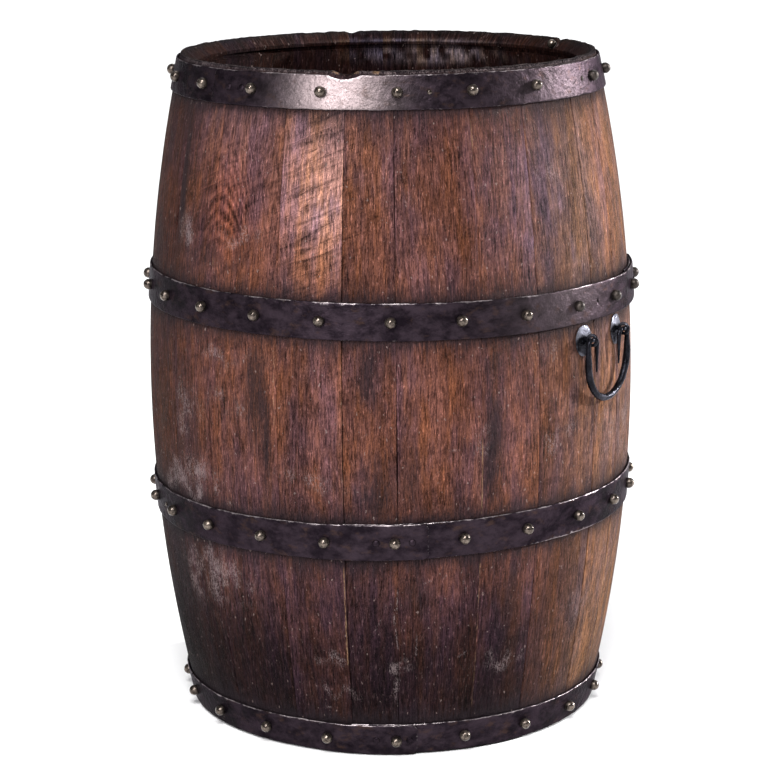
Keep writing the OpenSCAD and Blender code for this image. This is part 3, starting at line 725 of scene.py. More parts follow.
def build_stave(node, index, material):
    """One stave as a closed block between its seams, worn, chipped and marked."""
    left, right = span_of(node)
    middle = float(fold((left + right) / 2))
    in_front = abs(middle) < 88
    step = (3.1 if in_front else 5.0) * MM
    levels = stave_rows(step)
    width = math.radians(right - left) * BILGE_R
    near = np.array(EDGE_MM) * MM / width
    inside = np.linspace(near[-1], 1 - near[-1], max(4, int(width / step)))[1:-1]
    across = np.concatenate([near, inside, 1 - near[::-1]])
    n_level, n_depth, n_col = len(levels), len(DEPTHS), len(across)

    (outer_r, outer_z), (in_r, in_z) = np.array(levels).transpose(1, 2, 0)[..., None, None]
    depth = np.array(DEPTHS)[None, :, None]
    c = across[None, None, :]

    # Edges drawn in a little so that a seam shows between neighbours
    taper = np.clip(1 - depth / 0.45, 0, 1) ** 1.5
    gap_l = seam_gap(left, outer_z) / 2 * taper + 0.03 * MM
    gap_r = seam_gap(right, outer_z) / 2 * taper + 0.03 * MM
    start = left + np.degrees(gap_l / outer_r)
    stop = right - np.degrees(gap_r / outer_r)
    azimuth = start + (stop - start) * c
    r = outer_r + (in_r - outer_r) * depth + 0 * c
    z = outer_z + (in_z - outer_z) * depth + 0 * c

    # Relief of the outside: slow waves, softened edges and splits
    edge_l = np.radians(azimuth - left) * outer_r / MM
    edge_r = np.radians(right - azimuth) * outer_r / MM
    rng = np.random.default_rng(900 + index)
    sunk = -0.25 - 0.45 * rng.random()
    lean = 0.35 * rng.uniform(-1, 1)
    relief = sunk + lean * (2 * c - 1) + 0.22 * layered(azimuth / 4.0, z * 7, 50 + index)
    zz = z / MM
    for edge, seed in ((edge_l, 11), (edge_r, 12)):
        soft = 1.9 + 1.1 * noise(z * 22, index * 3.7, seed)
        depth_at = 0.8 + 0.5 * noise(z * 35, index * 5.1, seed + 2)
        bite = np.maximum(0, noise(z * 55, index * 2.3, seed + 4) - 0.55) * 5.0
        relief = relief - (depth_at + bite) * np.clip(1 - edge / (soft + bite), 0, 1) ** 2
    for at, low, high, wide, deep in CHECKS:
        if abs(float(fold(at - middle))) < (right - left) / 2 + 1:
            x = np.radians(fold(azimuth - at)) * outer_r / MM + 1.5 * noise(z * 12, at, 33)
            ends = smooth((zz - low) / 40) * smooth((high - zz) / 40)
            relief = relief - deep * ends * np.exp(-((x / wide) ** 2))
    r = r + np.minimum(relief, -0.02) * MM * (depth < 0.01)

    # Inside: adze marks and shallow waves
    clear_of_ends = (z > 40 * MM) & (z < HEIGHT - 40 * MM)
    waves = 0.5 * MM * layered(azimuth / 3.0, z * 12, 60 + index)
    r = r + waves * (depth > 0.99) * clear_of_ends

    # Worn rim: uneven height, chips, rounded corners
    for up in (True, False):
        from_end = (HEIGHT - z) if up else z
        near_end = smooth(1 - from_end / (26 * MM))
        wear = 1.1 + 0.8 * noise(azimuth / 2.2, depth * 2.0, 21 + up)
        wear = wear + 0.5 * noise(azimuth * 1.3, depth * 5, 23)
        if up:
            for at, half, deep in RIM_CHIPS:
                chip = np.clip(1 - (np.abs(fold(azimuth - at)) / half) ** 2, 0, 1)
                chip = chip * (1 - 0.55 * depth) * (1 + 0.3 * noise(azimuth * 2.4, depth * 3, 26))
                wear = np.maximum(wear, deep * chip + 0.4)
        else:
            wear = wear * 0.5
        round_off = 1.5 * ((depth < 0.01) | (depth > 0.99))
        drop = (np.maximum(wear, 0.1) + round_off) * near_end * MM
        z = z - drop if up else z + drop
        corner = smooth(1 - from_end / (3.2 * MM)) * 1.3 * MM
        r = r - corner * (depth < 0.01) + corner * (depth > 0.99)

    a = np.radians(azimuth)
    points = np.stack([r * np.sin(a), -r * np.cos(a), z], -1)

    # Only the skin of the block is kept
    ids = -np.ones((n_level, n_depth, n_col), np.int64)
    skin = np.zeros((n_level, n_depth, n_col), bool)
    skin[[0, -1]] = True
    skin[:, [0, -1]] = True
    skin[:, :, [0, -1]] = True
    ids[skin] = np.arange(skin.sum())

    def sheet(table, way):
        q = np.stack([table[:-1, :-1], table[:-1, 1:], table[1:, 1:], table[1:, :-1]], -1)
        return q.reshape(-1, 4)[:, ::way]

    outward = (ids[:, 0], 1), (ids[:, :, -1], 1), (ids[-1], 1)
    inward = (ids[:, -1], -1), (ids[:, :, 0], -1), (ids[0], -1)
    quads = np.vstack([sheet(table, way) for table, way in outward + inward])
    az, height = azimuth[skin], z[skin]
    deep = np.broadcast_to(depth, skin.shape)[skin]
    radius = r[skin]
    arc = np.radians(az - middle) * radius
    grain = np.stack([arc + 2.37 * index, height + 1.71 * index, deep * STAVE_T + 0.9 * index], -1)

    tone = wood_tone(az, height, index)
    inner = smooth((deep - 0.05) / 0.25)[:, None]
    # The inside is made nearly black: partly stained wood, partly painted shade inside the hollow
    in_tone = np.array([0.018, 0.0075, 0.0070]) * (0.9 + 0.3 * rng.random())
    tone = tone * (1 - inner) + in_tone * inner
    rim = smooth((height - (HEIGHT - 9 * MM)) / (7 * MM))[:, None]
    tone = tone * (1 - rim) + np.array([0.014, 0.0095, 0.0100]) * rim
    # Painted highlight patches on the back wall just below the croze, and a painted highlight line where
    # the bevel meets the inside wall at the back
    pale = np.clip(1.5 * spot(az, height, 165, 914, 17, 10), 0, 1) * inner[:, 0]
    pale = pale * smooth(0.6 + noise(az / 2.2, height * 90, 31))
    painted_bevel_line = np.exp(-(((height - HEIGHT + CHIME_H * MM) / (1.6 * MM)) ** 2)) * (deep > 0.99)
    painted_bevel_line = painted_bevel_line * np.clip(1.6 * spot(az, height, 171, 936, 19, 90), 0, 1)
    tone = tone + np.maximum(pale, 0.8 * painted_bevel_line)[:, None] * np.array([0.24, 0.20, 0.21])
    side = (np.minimum(az - left, right - az) < 0.02) & (deep > 0.04)
    tone[side] = np.array([0.030, 0.018, 0.014])

    marks = marks_at(az, height)
    fade = 1 - inner[:, 0]
    marks[:, :3] *= fade[:, None]
    top = rim[:, 0]
    rubbed = top * (0.16 + 0.25 * np.maximum(noise(az / 1.5, deep * 3, 29), 0))
    rubbed = rubbed * (1 + 1.6 * smooth((80 - np.abs(az)) / 20)) * (deep < 0.5)
    marks[:, 0] = np.maximum(marks[:, 0], rubbed)
    for at, half, strong in ((-11.0, 4.4, 1.0), (-3.0, 1.5, 0.7), (191, 1.5, 0.5)):
        chip = np.clip(1 - (np.abs(fold(az - at)) / half) ** 2, 0, 1) * (deep < 0.5) * top
        marks[:, 2] = np.maximum(marks[:, 2], strong * chip)
    figure = figure_at(az, height)
    figure[:, 1:] *= fade[:, None]
    values = {"grain": grain, "tone": opaque(tone), "marks": marks, "figure": figure}
    obj = make_mesh(node + "_oak", points[skin], quads, (), values)
    return finish_piece(obj, material, "barrel", "stave_oak", node)


# ---- hoops

HOOP_T = 3.5 * MM
# Each lap as (azimuth of the outer end, azimuth where the strip starts to rise)
LAPS = {
    "hoop_bottom": (6, -26),
    "hoop_lower_bilge": (8, -26),
    "hoop_upper_bilge": (96, 58),
    "hoop_top": (-50, -12),
}
JOGGLE = 15.0  # Degrees over which a strip climbs over its own start
HOOP_DIP = 5.5 * MM  # Depth of the worn dip in the top hoop at the big rim chip
OLD_HOLE_AT = 55  # Azimuth of the open nail hole in the upper bilge hoop


def hoop_line(node):
    """Function giving the middle height in metres at an azimuth, and the hoop's width."""
    p = node_points(node)
    near = [p[np.abs(fold(azimuth_of(p) - at)) < 12, 2] for at in (0, 90, 180, 270)]
    mids = [(z.min() + z.max()) / 2 for z in near]
    width = near[0].max() - near[0].min()
    lean = (mids[1] - mids[3]) / 2
    centre = sum(mids) / 4
    return (lambda azimuth: centre + lean * np.sin(np.radians(azimuth))), width


HOOPS = {node: hoop_line(node) for node in LAPS}
HOOP_EDGES = []
for _line, _width in HOOPS.values():
    HOOP_EDGES.append((lambda a, f=_line, w=_width: (f(a) + w / 2) / MM, 1))
    HOOP_EDGES.append((lambda a, f=_line, w=_width: (f(a) - w / 2) / MM, -1))


def build_hoop(node, seed, material):
    """One hoop as a strip that runs right round and climbs over its own start."""
    line, width = HOOPS[node]
    end, rise = LAPS[node]
    way = 1 if end > rise else -1
    # The strip starts under its own lap and runs right round to the outer end
    first, last = rise + way * JOGGLE, end + way * 360
    run = np.linspace(first, last, int(abs(last - first) / 0.5) + 1)
    if node == "hoop_upper_bilge":
        fine = OLD_HOLE_AT + 360 * (way > 0) + np.linspace(-1.2, 1.2, 25)
        run = np.unique(np.concatenate([run, fine]))
    travelled = np.abs(run - first)
    layer = smooth((travelled - (360 - JOGGLE)) / JOGGLE) * HOOP_T

    # Section: outer face, rounded edges, inner face, as (across 0..1, depth 0..1)
    edge = [(0.0, 0.5), (0.006, 0.18), (0.018, 0.03)]
    face = [(f, 0.0) for f in np.linspace(0.035, 0.965, 13)]
    back = [(0.994, 0.82), (0.97, 1.0), (0.5, 1.0), (0.03, 1.0), (0.006, 0.82)]
    across, deep = np.array(edge + face + [(1 - f, d) for f, d in edge[::-1]] + back).T[:, None]
    az = run[:, None] + 0 * across

    low_edge = 0.5 * noise(run / 3.1, seed, 1) + 0.35 * noise(run * 0.9, seed, 2)
    high_edge = 0.5 * noise(run / 2.7, seed, 3) + 0.35 * noise(run * 1.1, seed, 4)
    to_end = np.radians(travelled[-1] - travelled) * 0.33
    narrow = 6 * MM * np.clip(1 - to_end / (7 * MM), 0, 1) ** 2
    low = line(run) - width / 2 + low_edge * MM * 0.7 + narrow
    high = line(run) + width / 2 + high_edge * MM * 0.7 - narrow
    if node == "hoop_top":
        high = high - HOOP_DIP * np.clip(1 - (fold(run - RIM_CHIPS[0][0]) / 4.2) ** 2, 0, 1)
    z = low[:, None] + (high - low)[:, None] * across

    # Hammered face, and the free outer end of the strip hammered thin
    bumps = 0.30 * layered(az / 2.6, z * 55, seed * 7 + 3, 2)
    bumps = bumps + 0.10 * noise(az * 1.3, z * 160, seed * 7 + 5) - 0.30
    thin = 0.9 * np.clip(1 - to_end / (5 * MM), 0, 1)[:, None]
    lift = layer[:, None] + 0.1 * MM + (HOOP_T + (bumps - thin) * MM) * (1 - deep)
    shade = np.zeros_like(lift)
    if node == "hoop_upper_bilge":
        # The strip stands off the wood beside the lap on the right, and has an old nail hole with painted
        # shade inside it
        lift = lift + 4.2 * MM * spot(az, z, 66, 660, 7.5, 42) * (travelled[:, None] > 180)
        x = np.radians(fold(az - OLD_HOLE_AT)) * 0.35 / MM
        shade = smooth((2.4 - np.hypot(x, (z - line(OLD_HOLE_AT)) / MM)) / 1.0)
        lift = lift - 2.6 * MM * shade * (1 - deep)
    points = on_wall(az, z, lift)
    # Painted highlight on the top hoop where the front-left lamp would reflect, and painted sheen on the
    # right of the top and upper bilge hoops
    polish = spot(az, z, -13, 915, 11, 60) + 0.16 * spot(az, z, 47, 650, 17, 90)
    polish = (polish + 0.14 * spot(az, z, 50, 915, 18, 60)) * (deep < 0.5)

    # Bright edges, by distance in mm from the top and bottom edge: partly worn iron, partly a painted
    # highlight along the top edge and round the rim chip
    from_top, from_low = (1 - across) * 46, across * 46
    worn = np.exp(-from_top / 1.1) + 0.35 * np.exp(-from_low / 1.0) + 0 * az
    worn = worn * (0.75 + 0.5 * noise(az / 1.9, seed * 1.3, 6))
    if node == "hoop_lower_bilge":
        worn = np.maximum(worn, np.exp(-from_low / 1.3) * spot(az, z, 48, 300, 16, 60) * 1.1)
    worn = np.maximum(worn, 0.3 * np.clip(1 - to_end / (1.6 * MM), 0, 1)[:, None])
    if node == "hoop_top":
        worn = np.maximum(worn, np.exp(-from_top / 2.4) * spot(az, z, -11, 940, 6, 60) * 1.2)
    worn = worn * (deep < 0.5)
    grain = np.stack([np.radians(az) * 0.34 + seed * 3.3, z, lift + seed * 1.9], -1)
    rows, columns = az.shape
    ids = list(range(rows * columns))
    quads = grid_quads(rows, columns, wrap_columns=True)
    tris = fan(ids[:columns], way < 0) + fan(ids[-columns:][::-1], way < 0)
    values = {"grain": grain, "worn": worn, "shade": shade, "polish": polish}
    obj = make_mesh(node + "_iron", points, quads[:, :: -way], tris, values, sharp=60)
    return finish_piece(obj, material, "barrel", "hoop_iron", node)


# ---- nails and rivets

KNOB_H = 10.3 * MM
SHADED_HEADS_AT = 85  # Azimuth about which the upper heads get painted shade


def head_shape(height, radius, ball, rings):
    """Radii and heights of a head's rings: a ball cut flat at the foot, or a low dome."""
    centre = height - radius
    if not ball:
        radius = (radius**2 + height**2) / (2 * height)
        centre = height - radius
    low = math.asin(max(-1.0, min(1.0, -centre / radius)))
    angles = np.linspace(low, math.pi / 2, rings + 1)[:-1]
    return np.stack([radius * np.cos(angles), centre + radius * np.sin(angles)], -1)


def head_faces(rings, sides):
    """Faces of a stack of rings with a point on top and a flat foot."""
    ids = list(range(rings * sides))
    tris = cone(ids[-sides:], len(ids)) + fan(ids[:sides], True)
    return grid_quads(rings, sides, wrap_columns=True), tris


def rings_of(profile, sides, turn=0.0):
    """Points of a stack of rings from their radii and heights."""
    t = TAU * np.arange(sides) / sides + turn
    rr, h = profile[:, :1], profile[:, 1:]
    return np.stack([rr * np.cos(t), rr * np.sin(t), h + 0 * t], -1).reshape(-1, 3)


def build_heads(name, node, material, slot, size, ball, seed, sides=24, rings=12, rough=0.035):
    """One mesh holding every head of a node, each a little different."""
    radius, height = size
    parts = []
    for k, (azimuth, z, apex) in enumerate(fastener_places(node)):
        rng = np.random.default_rng(seed * 100 + k)
        turn = rng.uniform(0, TAU)
        facets = [
            (rng.uniform(0, TAU), rng.uniform(0.1, 1.3), rng.uniform(0.93, 0.99)) for _ in range(4)
        ]
        profile = head_shape(height, radius, ball, rings)
        profile = np.vstack([(profile[0, 0] * 0.98, -0.5 * MM), profile])
        centre = np.array([0, 0, height - radius if ball else 0.0])
        local = rings_of(profile, sides, turn) - centre
        way = local / np.linalg.norm(local, axis=1)[:, None]
        x, y, w = way.T
        coarse = noise(x * 2.1 + k * 3.7, y * 2.1 + w * 1.3, seed)
        factor = 1 + rough * (0.6 * coarse + 0.4 * noise(x * 4.5 + k, w * 4.5 + y, seed + 3))
        for turned, raised, limit in facets if ball else ():
            level = math.cos(raised)
            facing = way @ (level * math.cos(turned), level * math.sin(turned), math.sin(raised))
            factor = np.minimum(factor, limit / np.maximum(facing, 0.2))
        local = local * np.minimum(factor, 1.0)[:, None] + centre
        local = np.vstack([local, (0, 0, height * (0.985 if ball else 0.97))])
        # Painted shade round the foot and towards the rim of each head, and over the upper heads near the
        # handles
        shade = smooth(1 - local[:, 2] / (0.30 * height)) * 0.85
        off_axis = np.hypot(local[:, 0], local[:, 1]) / radius
        shade = np.maximum(shade, 0.35 * smooth(off_axis * 2 - 1.2))
        if abs(float(fold(azimuth - SHADED_HEADS_AT))) < 42 and z > 600 * MM:
            shade = np.maximum(shade, 0.75)
        grain = local + np.array([k * 0.31 + seed, k * 0.17, 0.0])
        points = placed_on_wall(local, azimuth, z, apex - height)
        parts.append((points, *head_faces(len(profile), sides), grain, shade))
    points, quads, tris, grain, shade = joined(parts)
    obj = make_mesh(name, points, quads, tris, {"grain": grain, "shade": shade}, sharp=70)
    return finish_piece(obj, material, "barrel", slot, node)


def build_rim_knob(material):
    """Dome-headed knob on the bevel inside the rim, placed from its CAD solid."""
    p = node_points("rim_knob")
    middle = p.mean(0)
    a = math.radians(float(azimuth_of(middle)))
    run = END_R - RIM_W - (float(wall_r(HEIGHT - CHIME_H * MM)) - STAVE_T)
    lean = math.atan2(CHIME_H * MM, run)
    inward = np.array([-math.sin(a), math.cos(a), 0.0])
    out = inward * math.sin(lean) + np.array([0, 0, 1.0]) * math.cos(lean)
    across = np.array([math.cos(a), math.sin(a), 0.0])
    axes = np.array([across, np.cross(out, across), out])
    reach = (p - middle) @ axes.T
    low, high = reach.min(0), reach.max(0)
    radius, height = (high[0] - low[0]) / 2, KNOB_H
    foot = [(low[0] + high[0]) / 2, (low[1] + high[1]) / 2, high[2] - height]
    sides = 20
    profile = np.vstack([(radius * 0.97, -0.6 * MM), head_shape(height, radius, True, 10)])
    local = rings_of(profile, sides)
    t = np.tile(TAU * np.arange(sides) / sides, len(profile))
    worn = noise(np.cos(t) * 2 + 4, np.sin(t) * 2 + local[:, 2] / MM * 0.4, 7)
    local[:, :2] *= (1 - 0.04 * (1 + worn))[:, None]
    local = np.vstack([local, (0, 0, height * 0.99)])
    # Painted shade round the foot
    shade = smooth(1 - local[:, 2] / (0.3 * height)) * 0.9
    points = middle + (local + foot) @ axes
    faces = head_faces(len(profile), sides)
    obj = make_mesh("rim_knob_iron", points, *faces, {"grain": local + 9.0, "shade": shade})
    return finish_piece(obj, material, "barrel", "nail_iron", "rim_knob")


# ---- handles


def tube(path, radii, sides, seed=0, rough=0.05):
    """Points and faces of a forged bar along a path in a plane, closed at both ends."""
    path = np.asarray(path, float)
    tangent = np.gradient(path, axis=0)
    tangent /= np.linalg.norm(tangent, axis=1)[:, None]
    normal = np.array([0.0, 1.0, 0.0]) - tangent * tangent[:, 1:2]
    normal /= np.linalg.norm(normal, axis=1)[:, None]
    side = np.cross(tangent, normal)
    w = TAU * np.arange(sides) / sides
    row = np.arange(len(path))[:, None]
    k = 1 + rough * noise(row * 0.16, 3 * np.cos(w) + seed, seed) - rough * 0.5
    k = k - rough * 0.6 * np.abs(noise(row * 0.45, 2 * np.sin(w) + seed * 2, seed + 5))
    round_it = np.cos(w)[:, None] * normal[:, None] + np.sin(w)[:, None] * side[:, None]
    points = path[:, None] + (np.array(radii)[:, None] * k)[..., None] * round_it
    ids = list(range(len(path) * sides))
    tris = cone(ids[:sides], len(ids), True) + cone(ids[-sides:], len(ids) + 1)
    quads = grid_quads(len(path), sides, wrap_columns=True)[:, ::-1]
    return np.vstack([points.reshape(-1, 3), path[[0, -1]]]), quads, tris


EYE_SPAN = 92 * MM
BAIL_DROP = 88 * MM
GRIP_D, RUN_D, TAIL_TIP_D = 10.4 * MM, 6.8 * MM, 2.4 * MM
EYE_HOLE_D, EYE_WIRE_D, SPIKE_R = 8.8 * MM, 5.2 * MM, 2.95 * MM
BEND_R = 7 * MM
LEG_X = EYE_SPAN / 2 + 3 * MM + BEND_R
TAIL_X = EYE_SPAN / 2 - 7 * MM - BEND_R
TAIL_LEN = 40 * MM
PLATE_W, PLATE_H, PLATE_T = 37 * MM, 43 * MM, 3.6 * MM
PLATE_LOW, PLATE_DOME, PLATE_EDGE = 2 * MM, 85 * MM, 0.9 * MM


def bail_half():
    """Path and radii of half a bail, from the pointed tail round to the middle of the grip."""
    line = []

    def arc(cx, cz, radius, a0, a1, n, d0, d1):
        for k in range(n):
            t = k / n
            a = math.radians(a0 + (a1 - a0) * t)
            line.append((cx + radius * math.cos(a), cz + radius * math.sin(a), d0 + (d1 - d0) * t))

    for k in range(14):
        t = k / 14
        line.append((TAIL_X, -BEND_R - TAIL_LEN * (1 - t), TAIL_TIP_D + (RUN_D - TAIL_TIP_D) * t))
    arc(TAIL_X + BEND_R, -BEND_R, BEND_R, 180, 90, 8, RUN_D, RUN_D)
    for k in range(6):
        line.append((TAIL_X + BEND_R + (LEG_X - TAIL_X - 2 * BEND_R) * k / 6, 0.0, RUN_D))
    arc(LEG_X - BEND_R, -BEND_R, BEND_R, 90, 0, 8, RUN_D, RUN_D)
    leg = BAIL_DROP - BEND_R - LEG_X
    for k in range(8):
        line.append((LEG_X, -BEND_R - leg * k / 8, RUN_D + (GRIP_D - RUN_D) * k / 8))
    arc(0.0, -BAIL_DROP + LEG_X, LEG_X, 0, -90, 26, GRIP_D, GRIP_D)
    return line


def handle_place(side):
    """Azimuth of a handle's pivot, and the pivot's radius and height."""
    joint = next(j for j in frame["joints"] if j["name"] == f"handle_{side}_swing")
    x, y, z = joint["pos_m"]
    return float(azimuth_of(np.array([x, y, 0.0]))), math.hypot(x, y), z


def to_handle(local, azimuth, radius, z):
    """Points drawn facing -Y about the pivot, turned and moved to the handle's station."""
    a = math.radians(azimuth)
    x = local[:, 0] * math.cos(a) - (local[:, 1] - radius) * math.sin(a)
    y = local[:, 0] * math.sin(a) + (local[:, 1] - radius) * math.cos(a)
    return np.stack([x, y, local[:, 2] + z], -1)


def forged_piece(side, part, body, place, arrays, values, material, sharp=60):
    """One sub-part of a handle, drawn at the pivot and moved to its place unless that is None."""
    points, quads, tris = arrays
    if place:
        points = to_handle(points, *place)
    obj = make_mesh(f"handle_{side}_{part}_forged", points, quads, tris, values, sharp)
    return finish_piece(obj, material, body, "handle_iron", f"handle_{side}_{part}")


def build_bail(side, material, seed):
    """Drop handle: a forged bar hooked through both eyes, with pointed tails."""
    half = bail_half()
    full = half + [(0.0, -BAIL_DROP, GRIP_D)] + [(-x, h, d) for x, h, d in half[::-1]]
    path = [(x, 0.0, h) for x, h, d in full]
    points, quads, tris = tube(path, [d / 2 for x, h, d in full], 16, seed=seed)
    worn = 0.30 * smooth(-points[:, 1] / (GRIP_D / 2) - 0.3)
    worn = worn * smooth((-points[:, 2] - 50 * MM) / (30 * MM))
    values = {"grain": points + seed, "worn": worn}
    place = handle_place(side)
    return forged_piece(side, "bail", f"handle_{side}", place, (points, quads, tris), values, material)


def build_eyes(side, material, seed):
    """Eye bolts: a forged ring on a spike driven through the plate."""
    azimuth, radius, z = handle_place(side)
    ring_r, wires = (EYE_HOLE_D + EYE_WIRE_D) / 2, 12
    a, b = TAU * np.arange(36)[:, None] / 36, TAU * np.arange(wires) / wires
    wire = 1 - 0.07 * (1 + noise(np.cos(a) * 2, np.sin(a) * 2 + b, seed))
    wire = wire * EYE_WIRE_D / 2
    rr = ring_r + wire * np.cos(b)
    reach = radius - math.sqrt(float(wall_r(z)) ** 2 - (EYE_SPAN / 2) ** 2) + 6 * MM
    along = np.linspace(ring_r, reach, 6)[:, None]
    ids = list(range(len(along) * wires))
    parts = []
    for s in (-1, 1):
        x = s * EYE_SPAN / 2
        ring = np.stack([x + wire * np.sin(b), rr * np.cos(a), rr * np.sin(a)], -1)
        parts.append((ring.reshape(-1, 3), grid_quads(len(a), wires, True, True)[:, ::-1], ()))
        spike = [x + SPIKE_R * np.cos(b) + 0 * along, along + 0 * b, SPIKE_R * np.sin(b) + 0 * along]
        ends = fan(ids[:wires], True) + fan(ids[-wires:])
        quads = grid_quads(len(along), wires, wrap_columns=True)
        parts.append((np.stack(spike, -1).reshape(-1, 3), quads, ends))
    arrays = joined(parts)
    # The tops of the eyes are lightened as a painted highlight
    values = {"grain": arrays[0] + seed, "worn": 0.4 * smooth(arrays[0][:, 2] / (6 * MM))}
    return forged_piece(side, "eyes", "barrel", (azimuth, radius, z), arrays, values, material)


def build_plates(side, material, seed):
    """Leaf-shaped plates with a soft dome and thinned edges."""
    azimuth, _, z = handle_place(side)
    eye_az = math.degrees(math.asin(EYE_SPAN / 2 / float(wall_r(z))))
    sides, rings = 48, 9
    t = TAU * np.arange(sides) / sides
    # Leaf outline: two arcs meeting at blunt points
    arc_r = ((PLATE_W / 2) ** 2 + (PLATE_H / 2 + 2 * MM) ** 2) / PLATE_W
    off = arc_r - PLATE_W / 2
    c = off * np.abs(np.cos(t))
    leaf = np.minimum(-c + np.sqrt(np.maximum(0.0, c**2 + arc_r**2 - off**2)), PLATE_H / 2)
    share = [1, 1] + [(1 - k / rings) * 0.975 + 0.005 for k in range(1, rings + 1)]
    share = np.array(share)[:, None]
    ids = list(range(len(share) * sides))
    tris = cone(ids[-sides:], len(ids)) + cone(ids[:sides], len(ids) + 1, True)
    quads = grid_quads(len(share), sides, wrap_columns=True)
    parts = []
    for s in (-1, 1):
        edge = leaf * (1 - 0.02 * (1 + noise(np.cos(t) * 3 + s, np.sin(t) * 3, seed)))
        x, y = edge * share * np.cos(t), edge * share * np.sin(t)
        h = PLATE_T - PLATE_DOME + np.sqrt(PLATE_DOME**2 - x**2 - y**2)
        h = h - 0.12 * MM * (1 + noise(x / MM / 5 + s * 9, y / MM / 5, seed + 2))
        h = np.maximum(h, PLATE_EDGE)
        h[0], h[1] = 0.0, PLATE_EDGE
        # Worn plate rims, and the upper half lightened as a painted highlight
        worn = 0.5 * smooth((share - 0.75) * 5) + 0.75 * smooth(y / (12 * MM))
        local = np.stack([x, y - PLATE_LOW, h], -1).reshape(-1, 3)
        local = np.vstack([local, (0, -PLATE_LOW, PLATE_T * 0.97), (0, -PLATE_LOW, 0)])
        points = placed_on_wall(local, azimuth + s * eye_az, z, 0.05 * MM)
        parts.append((points, quads, tris, local + s + seed, np.append(worn, (0, 0))))
    *arrays, grain, worn = joined(parts)
    values = {"grain": grain, "worn": worn}
    return forged_piece(side, "plates", "barrel", None, arrays, values, material, sharp=50)


# ---- head


def build_head_board(node, index, material):
    """Head board: planed board with softened edges, following its CAD solid's outline."""
    low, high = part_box(node)
    p = node_points(node)
    p_r = np.hypot(p[:, 0], p[:, 1])
    tongue_r = p_r.max()
    face_r = p_r[p[:, 2] > high.z - 0.1 * MM].max()
    tongue = p[p_r > tongue_r - 0.5 * MM, 2]
    neck_r = tongue_r - CROZE_DEPTH * MM
    # Profile round the board's end, over the tongue
    heights = np.repeat((tongue.min(), tongue.max()), 2)
    profile = list(zip((neck_r, tongue_r, tongue_r, neck_r), heights))
    n_col, n_len = 26, 60
    x = np.linspace(low.x + 0.15 * MM, high.x - 0.15 * MM, n_col)
    from_edge = np.minimum(x - x[0], x[-1] - x)
    soft = 0.9 * MM * np.clip(1 - from_edge / (2.2 * MM), 0, 1) ** 2
    rows = []

    def add_row(y, h):
        rows.append(np.stack([x, y, h + 0 * x], -1))

    def end_y(r):
        return np.sqrt(np.maximum(r * r - x * x, 1e-8))

    # Loop of rows: top face, one end, bottom face, other end
    t = np.linspace(-1, 1, n_len)
    for k in t:
        y = k * end_y(face_r)
        waves = 0.25 * MM * (1 + layered(x * 30, y * 6, 70 + index))
        add_row(y, high.z - soft - waves)
    for r, h in profile[::-1]:
        add_row(end_y(r), h)
    low_start = len(rows)
    for k in t[::-4]:
        add_row(k * end_y(face_r), low.z + soft)
    low_stop = len(rows)
    for r, h in profile:
        add_row(-end_y(r), h)
    quads = grid_quads(len(rows), n_col, wrap_rows=True)
    # Side faces close the loop of rows at both edges
    tris = []
    for col, flip in ((0, False), (n_col - 1, True)):
        ring = [i * n_col + col for i in range(len(rows))]
        a, b = ring[:n_len], ring[low_start:low_stop][::-1]
        i = j = 0
        side = []
        while i < len(a) - 1 or j < len(b) - 1:
            a_first = (i + 1) / (len(a) - 1) <= (j + 1) / (len(b) - 1)
            if a_first and i < len(a) - 1 or j == len(b) - 1:
                side.append((a[i], a[i + 1], b[j]))
                i += 1
            else:
                side.append((a[i], b[j + 1], b[j]))
                j += 1
        tris += [tri[::-1] if flip else tri for tri in side]
        tris += fan(ring[n_len - 1 : low_start + 1], flip)
        tris += fan(ring[low_stop - 1 :] + [ring[0]], flip)
    pts = np.array(rows).reshape(-1, 3)
    grain = pts + np.array([3.1 * index, 1.3 * index, 0])
    own = 0.85 + 0.3 * np.random.default_rng(500 + index).random()
    rim = smooth((np.hypot(pts[:, 0], pts[:, 1]) / face_r - 0.93) / 0.07)
    tone = np.array([0.115, 0.055, 0.038]) * own * (1 - 0.55 * rim[:, None])
    seam = smooth(1 - np.minimum(pts[:, 0] - x[0], x[-1] - pts[:, 0]) / (6 * MM))
    marks = np.stack([0.15 + 0 * rim, 0.35 * rim + 0.25 * seam, 0 * rim, 0 * rim], -1)
    values = {"grain": grain, "tone": opaque(tone), "marks": marks, "figure": (0, 0, 0.1) + 0 * pts}
    obj = make_mesh(node + "_oak", pts, quads, tris, values)
    return finish_piece(obj, material, "barrel", "head_oak", node)


# ---- all pieces

oak = oak_material()
iron = iron_material()
nail_metal = nail_material()
forged = handle_material()

for number, stave in enumerate(STAVES):
    build_stave(stave, number, oak)
for number in range(1, 7):
    build_head_board(f"head_board_{number}", number, oak)
for number, hoop in enumerate(LAPS):
    build_hoop(hoop, number + 1, iron)
NAIL_HEAD, RIVET_HEAD, TACK_HEAD = (7.75 * MM, 10.8 * MM), (5 * MM, 2 * MM), (3.5 * MM, 1.75 * MM)
for number, hoop in enumerate(("bottom", "lower_bilge", "upper_bilge", "top")):
    nails = f"nails_{hoop}_heads", f"nails_{hoop}_hoop"
    build_heads(*nails, nail_metal, "nail_iron", NAIL_HEAD, True, number + 1)
build_heads("lap_rivets_heads", "lap_rivets", iron, "hoop_iron", RIVET_HEAD, False, 8, 18, 5, 0.12)
build_heads("hoop_tacks_heads", "hoop_tacks", nail_metal, "nail_iron", TACK_HEAD, False, 9, 14, 5, 0.1)
build_rim_knob(nail_metal)
for number, side in enumerate(("right", "left")):
    build_plates(side, forged, 21 + number)
    build_eyes(side, forged, 31 + number)
    build_bail(side, forged, 41 + number)

dowels = frame["nodes"]["head_dowels"]
dowels.data.materials.clear()
dowels.data.materials.append(oak)

# ---- stage and light


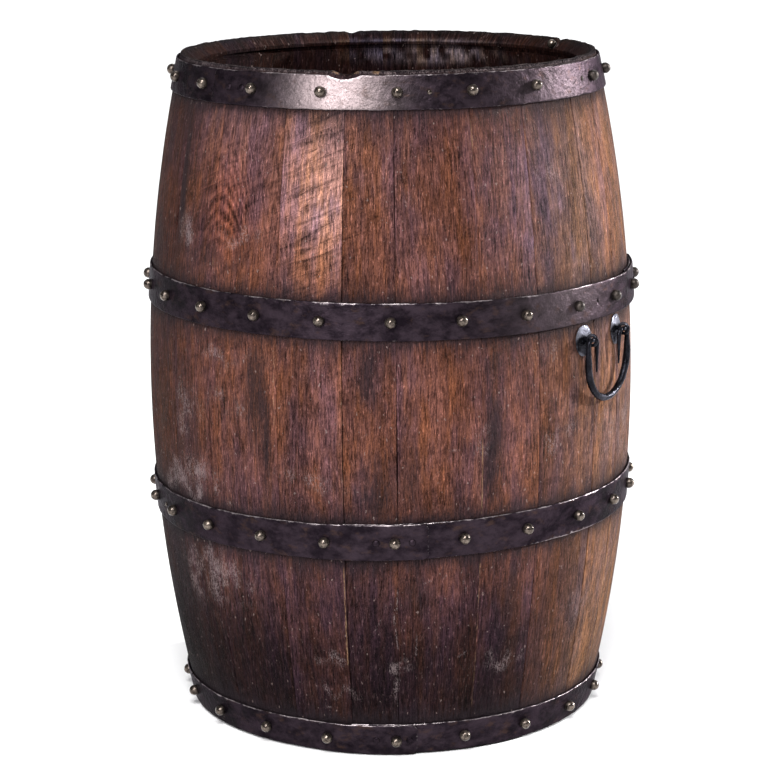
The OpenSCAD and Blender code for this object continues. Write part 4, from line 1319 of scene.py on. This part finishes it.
def build_floor():
    """Plain pale floor just below the barrel."""
    half, below = 40.0, -0.5 * MM
    corners = [(x * half, y * half, below) for x, y in ((-1, -1), (1, -1), (1, 1), (-1, 1))]
    mesh = bpy.data.meshes.new("floor")
    mesh.from_pydata(corners, [], [(0, 1, 2, 3)])
    floor = add_object("floor", mesh)
    g = Graph("pale_floor")
    pale = (0.92, 0.92, 0.92)
    mesh.materials.append(g.finish(Base_Color=pale, Roughness=0.9, Specular_IOR_Level=0.1))


def add_area(name, location, target, size, power, colour):
    """Soft rectangular lamp turned to face a target."""
    light = bpy.data.lights.new(name, "AREA")
    light.shape = "RECTANGLE"
    light.size, light.size_y = size
    light.energy = power
    light.color = colour
    place = np.array(location, float)
    back = place - np.array(target, float)
    back /= np.linalg.norm(back)
    right = np.cross((0, 0, 1), back)
    right /= np.linalg.norm(right)
    frame_of = Matrix(np.array([right, np.cross(back, right), back]).T.tolist()).to_4x4()
    add_object(name, light).matrix_world = Matrix.Translation(location) @ frame_of


def add_sun(name, power, angle, tilt, turn):
    """Sun of an angular size, tipped from overhead and turned; angles in degrees."""
    sun = bpy.data.lights.new(name, "SUN")
    sun.energy = power
    sun.angle = math.radians(angle)
    add_object(name, sun).rotation_euler = (math.radians(tilt), 0, math.radians(turn))


def light_scene():
    """Soft front sun, harder side sun for the handle's shadow, and three soft lamps."""
    world = bpy.data.worlds.new("studio")
    world.use_nodes = True
    background = world.node_tree.nodes["Background"]
    background.inputs[0].default_value = (0.95, 0.96, 1.0, 1)
    background.inputs[1].default_value = 0.14
    bpy.context.scene.world = world
    add_sun("sun", 3.4, 24, 40, -6)
    add_sun("side_sun", 5.0, 4, 76, 112)
    add_area("key_left", (-1.45, -3.1, 1.95), (0, 0, 0.75), (0.7, 0.6), 60, (1.0, 0.98, 1.0))
    add_area("side_right", (2.6, 0.75, 1.35), (0, 0, 0.6), (1.0, 1.6), 20, (0.95, 0.94, 1.0))
    add_area("top_back", (0.4, 2.0, 3.2), (0, 0, 0.9), (2.4, 1.6), 30, (1.0, 1.0, 1.0))


def place_camera():
    """Long lens in front of the barrel, looking slightly down."""
    camera = bpy.data.cameras.new("camera")
    camera.sensor_width = 36.0
    camera.lens = 117.16
    camera.clip_end = 200
    obj = add_object("camera", camera)
    pitch, roll = 0.23076, -0.00929
    obj.matrix_world = (
        Matrix.Translation((0.0, -3.6316, 1.3029))
        @ Matrix.Rotation(math.pi / 2 - pitch, 4, "X")
        @ Matrix.Rotation(roll, 4, "Z")
    )
    bpy.context.scene.camera = obj


build_floor()
light_scene()
place_camera()
bpy.context.scene.view_settings.view_transform = "Standard"
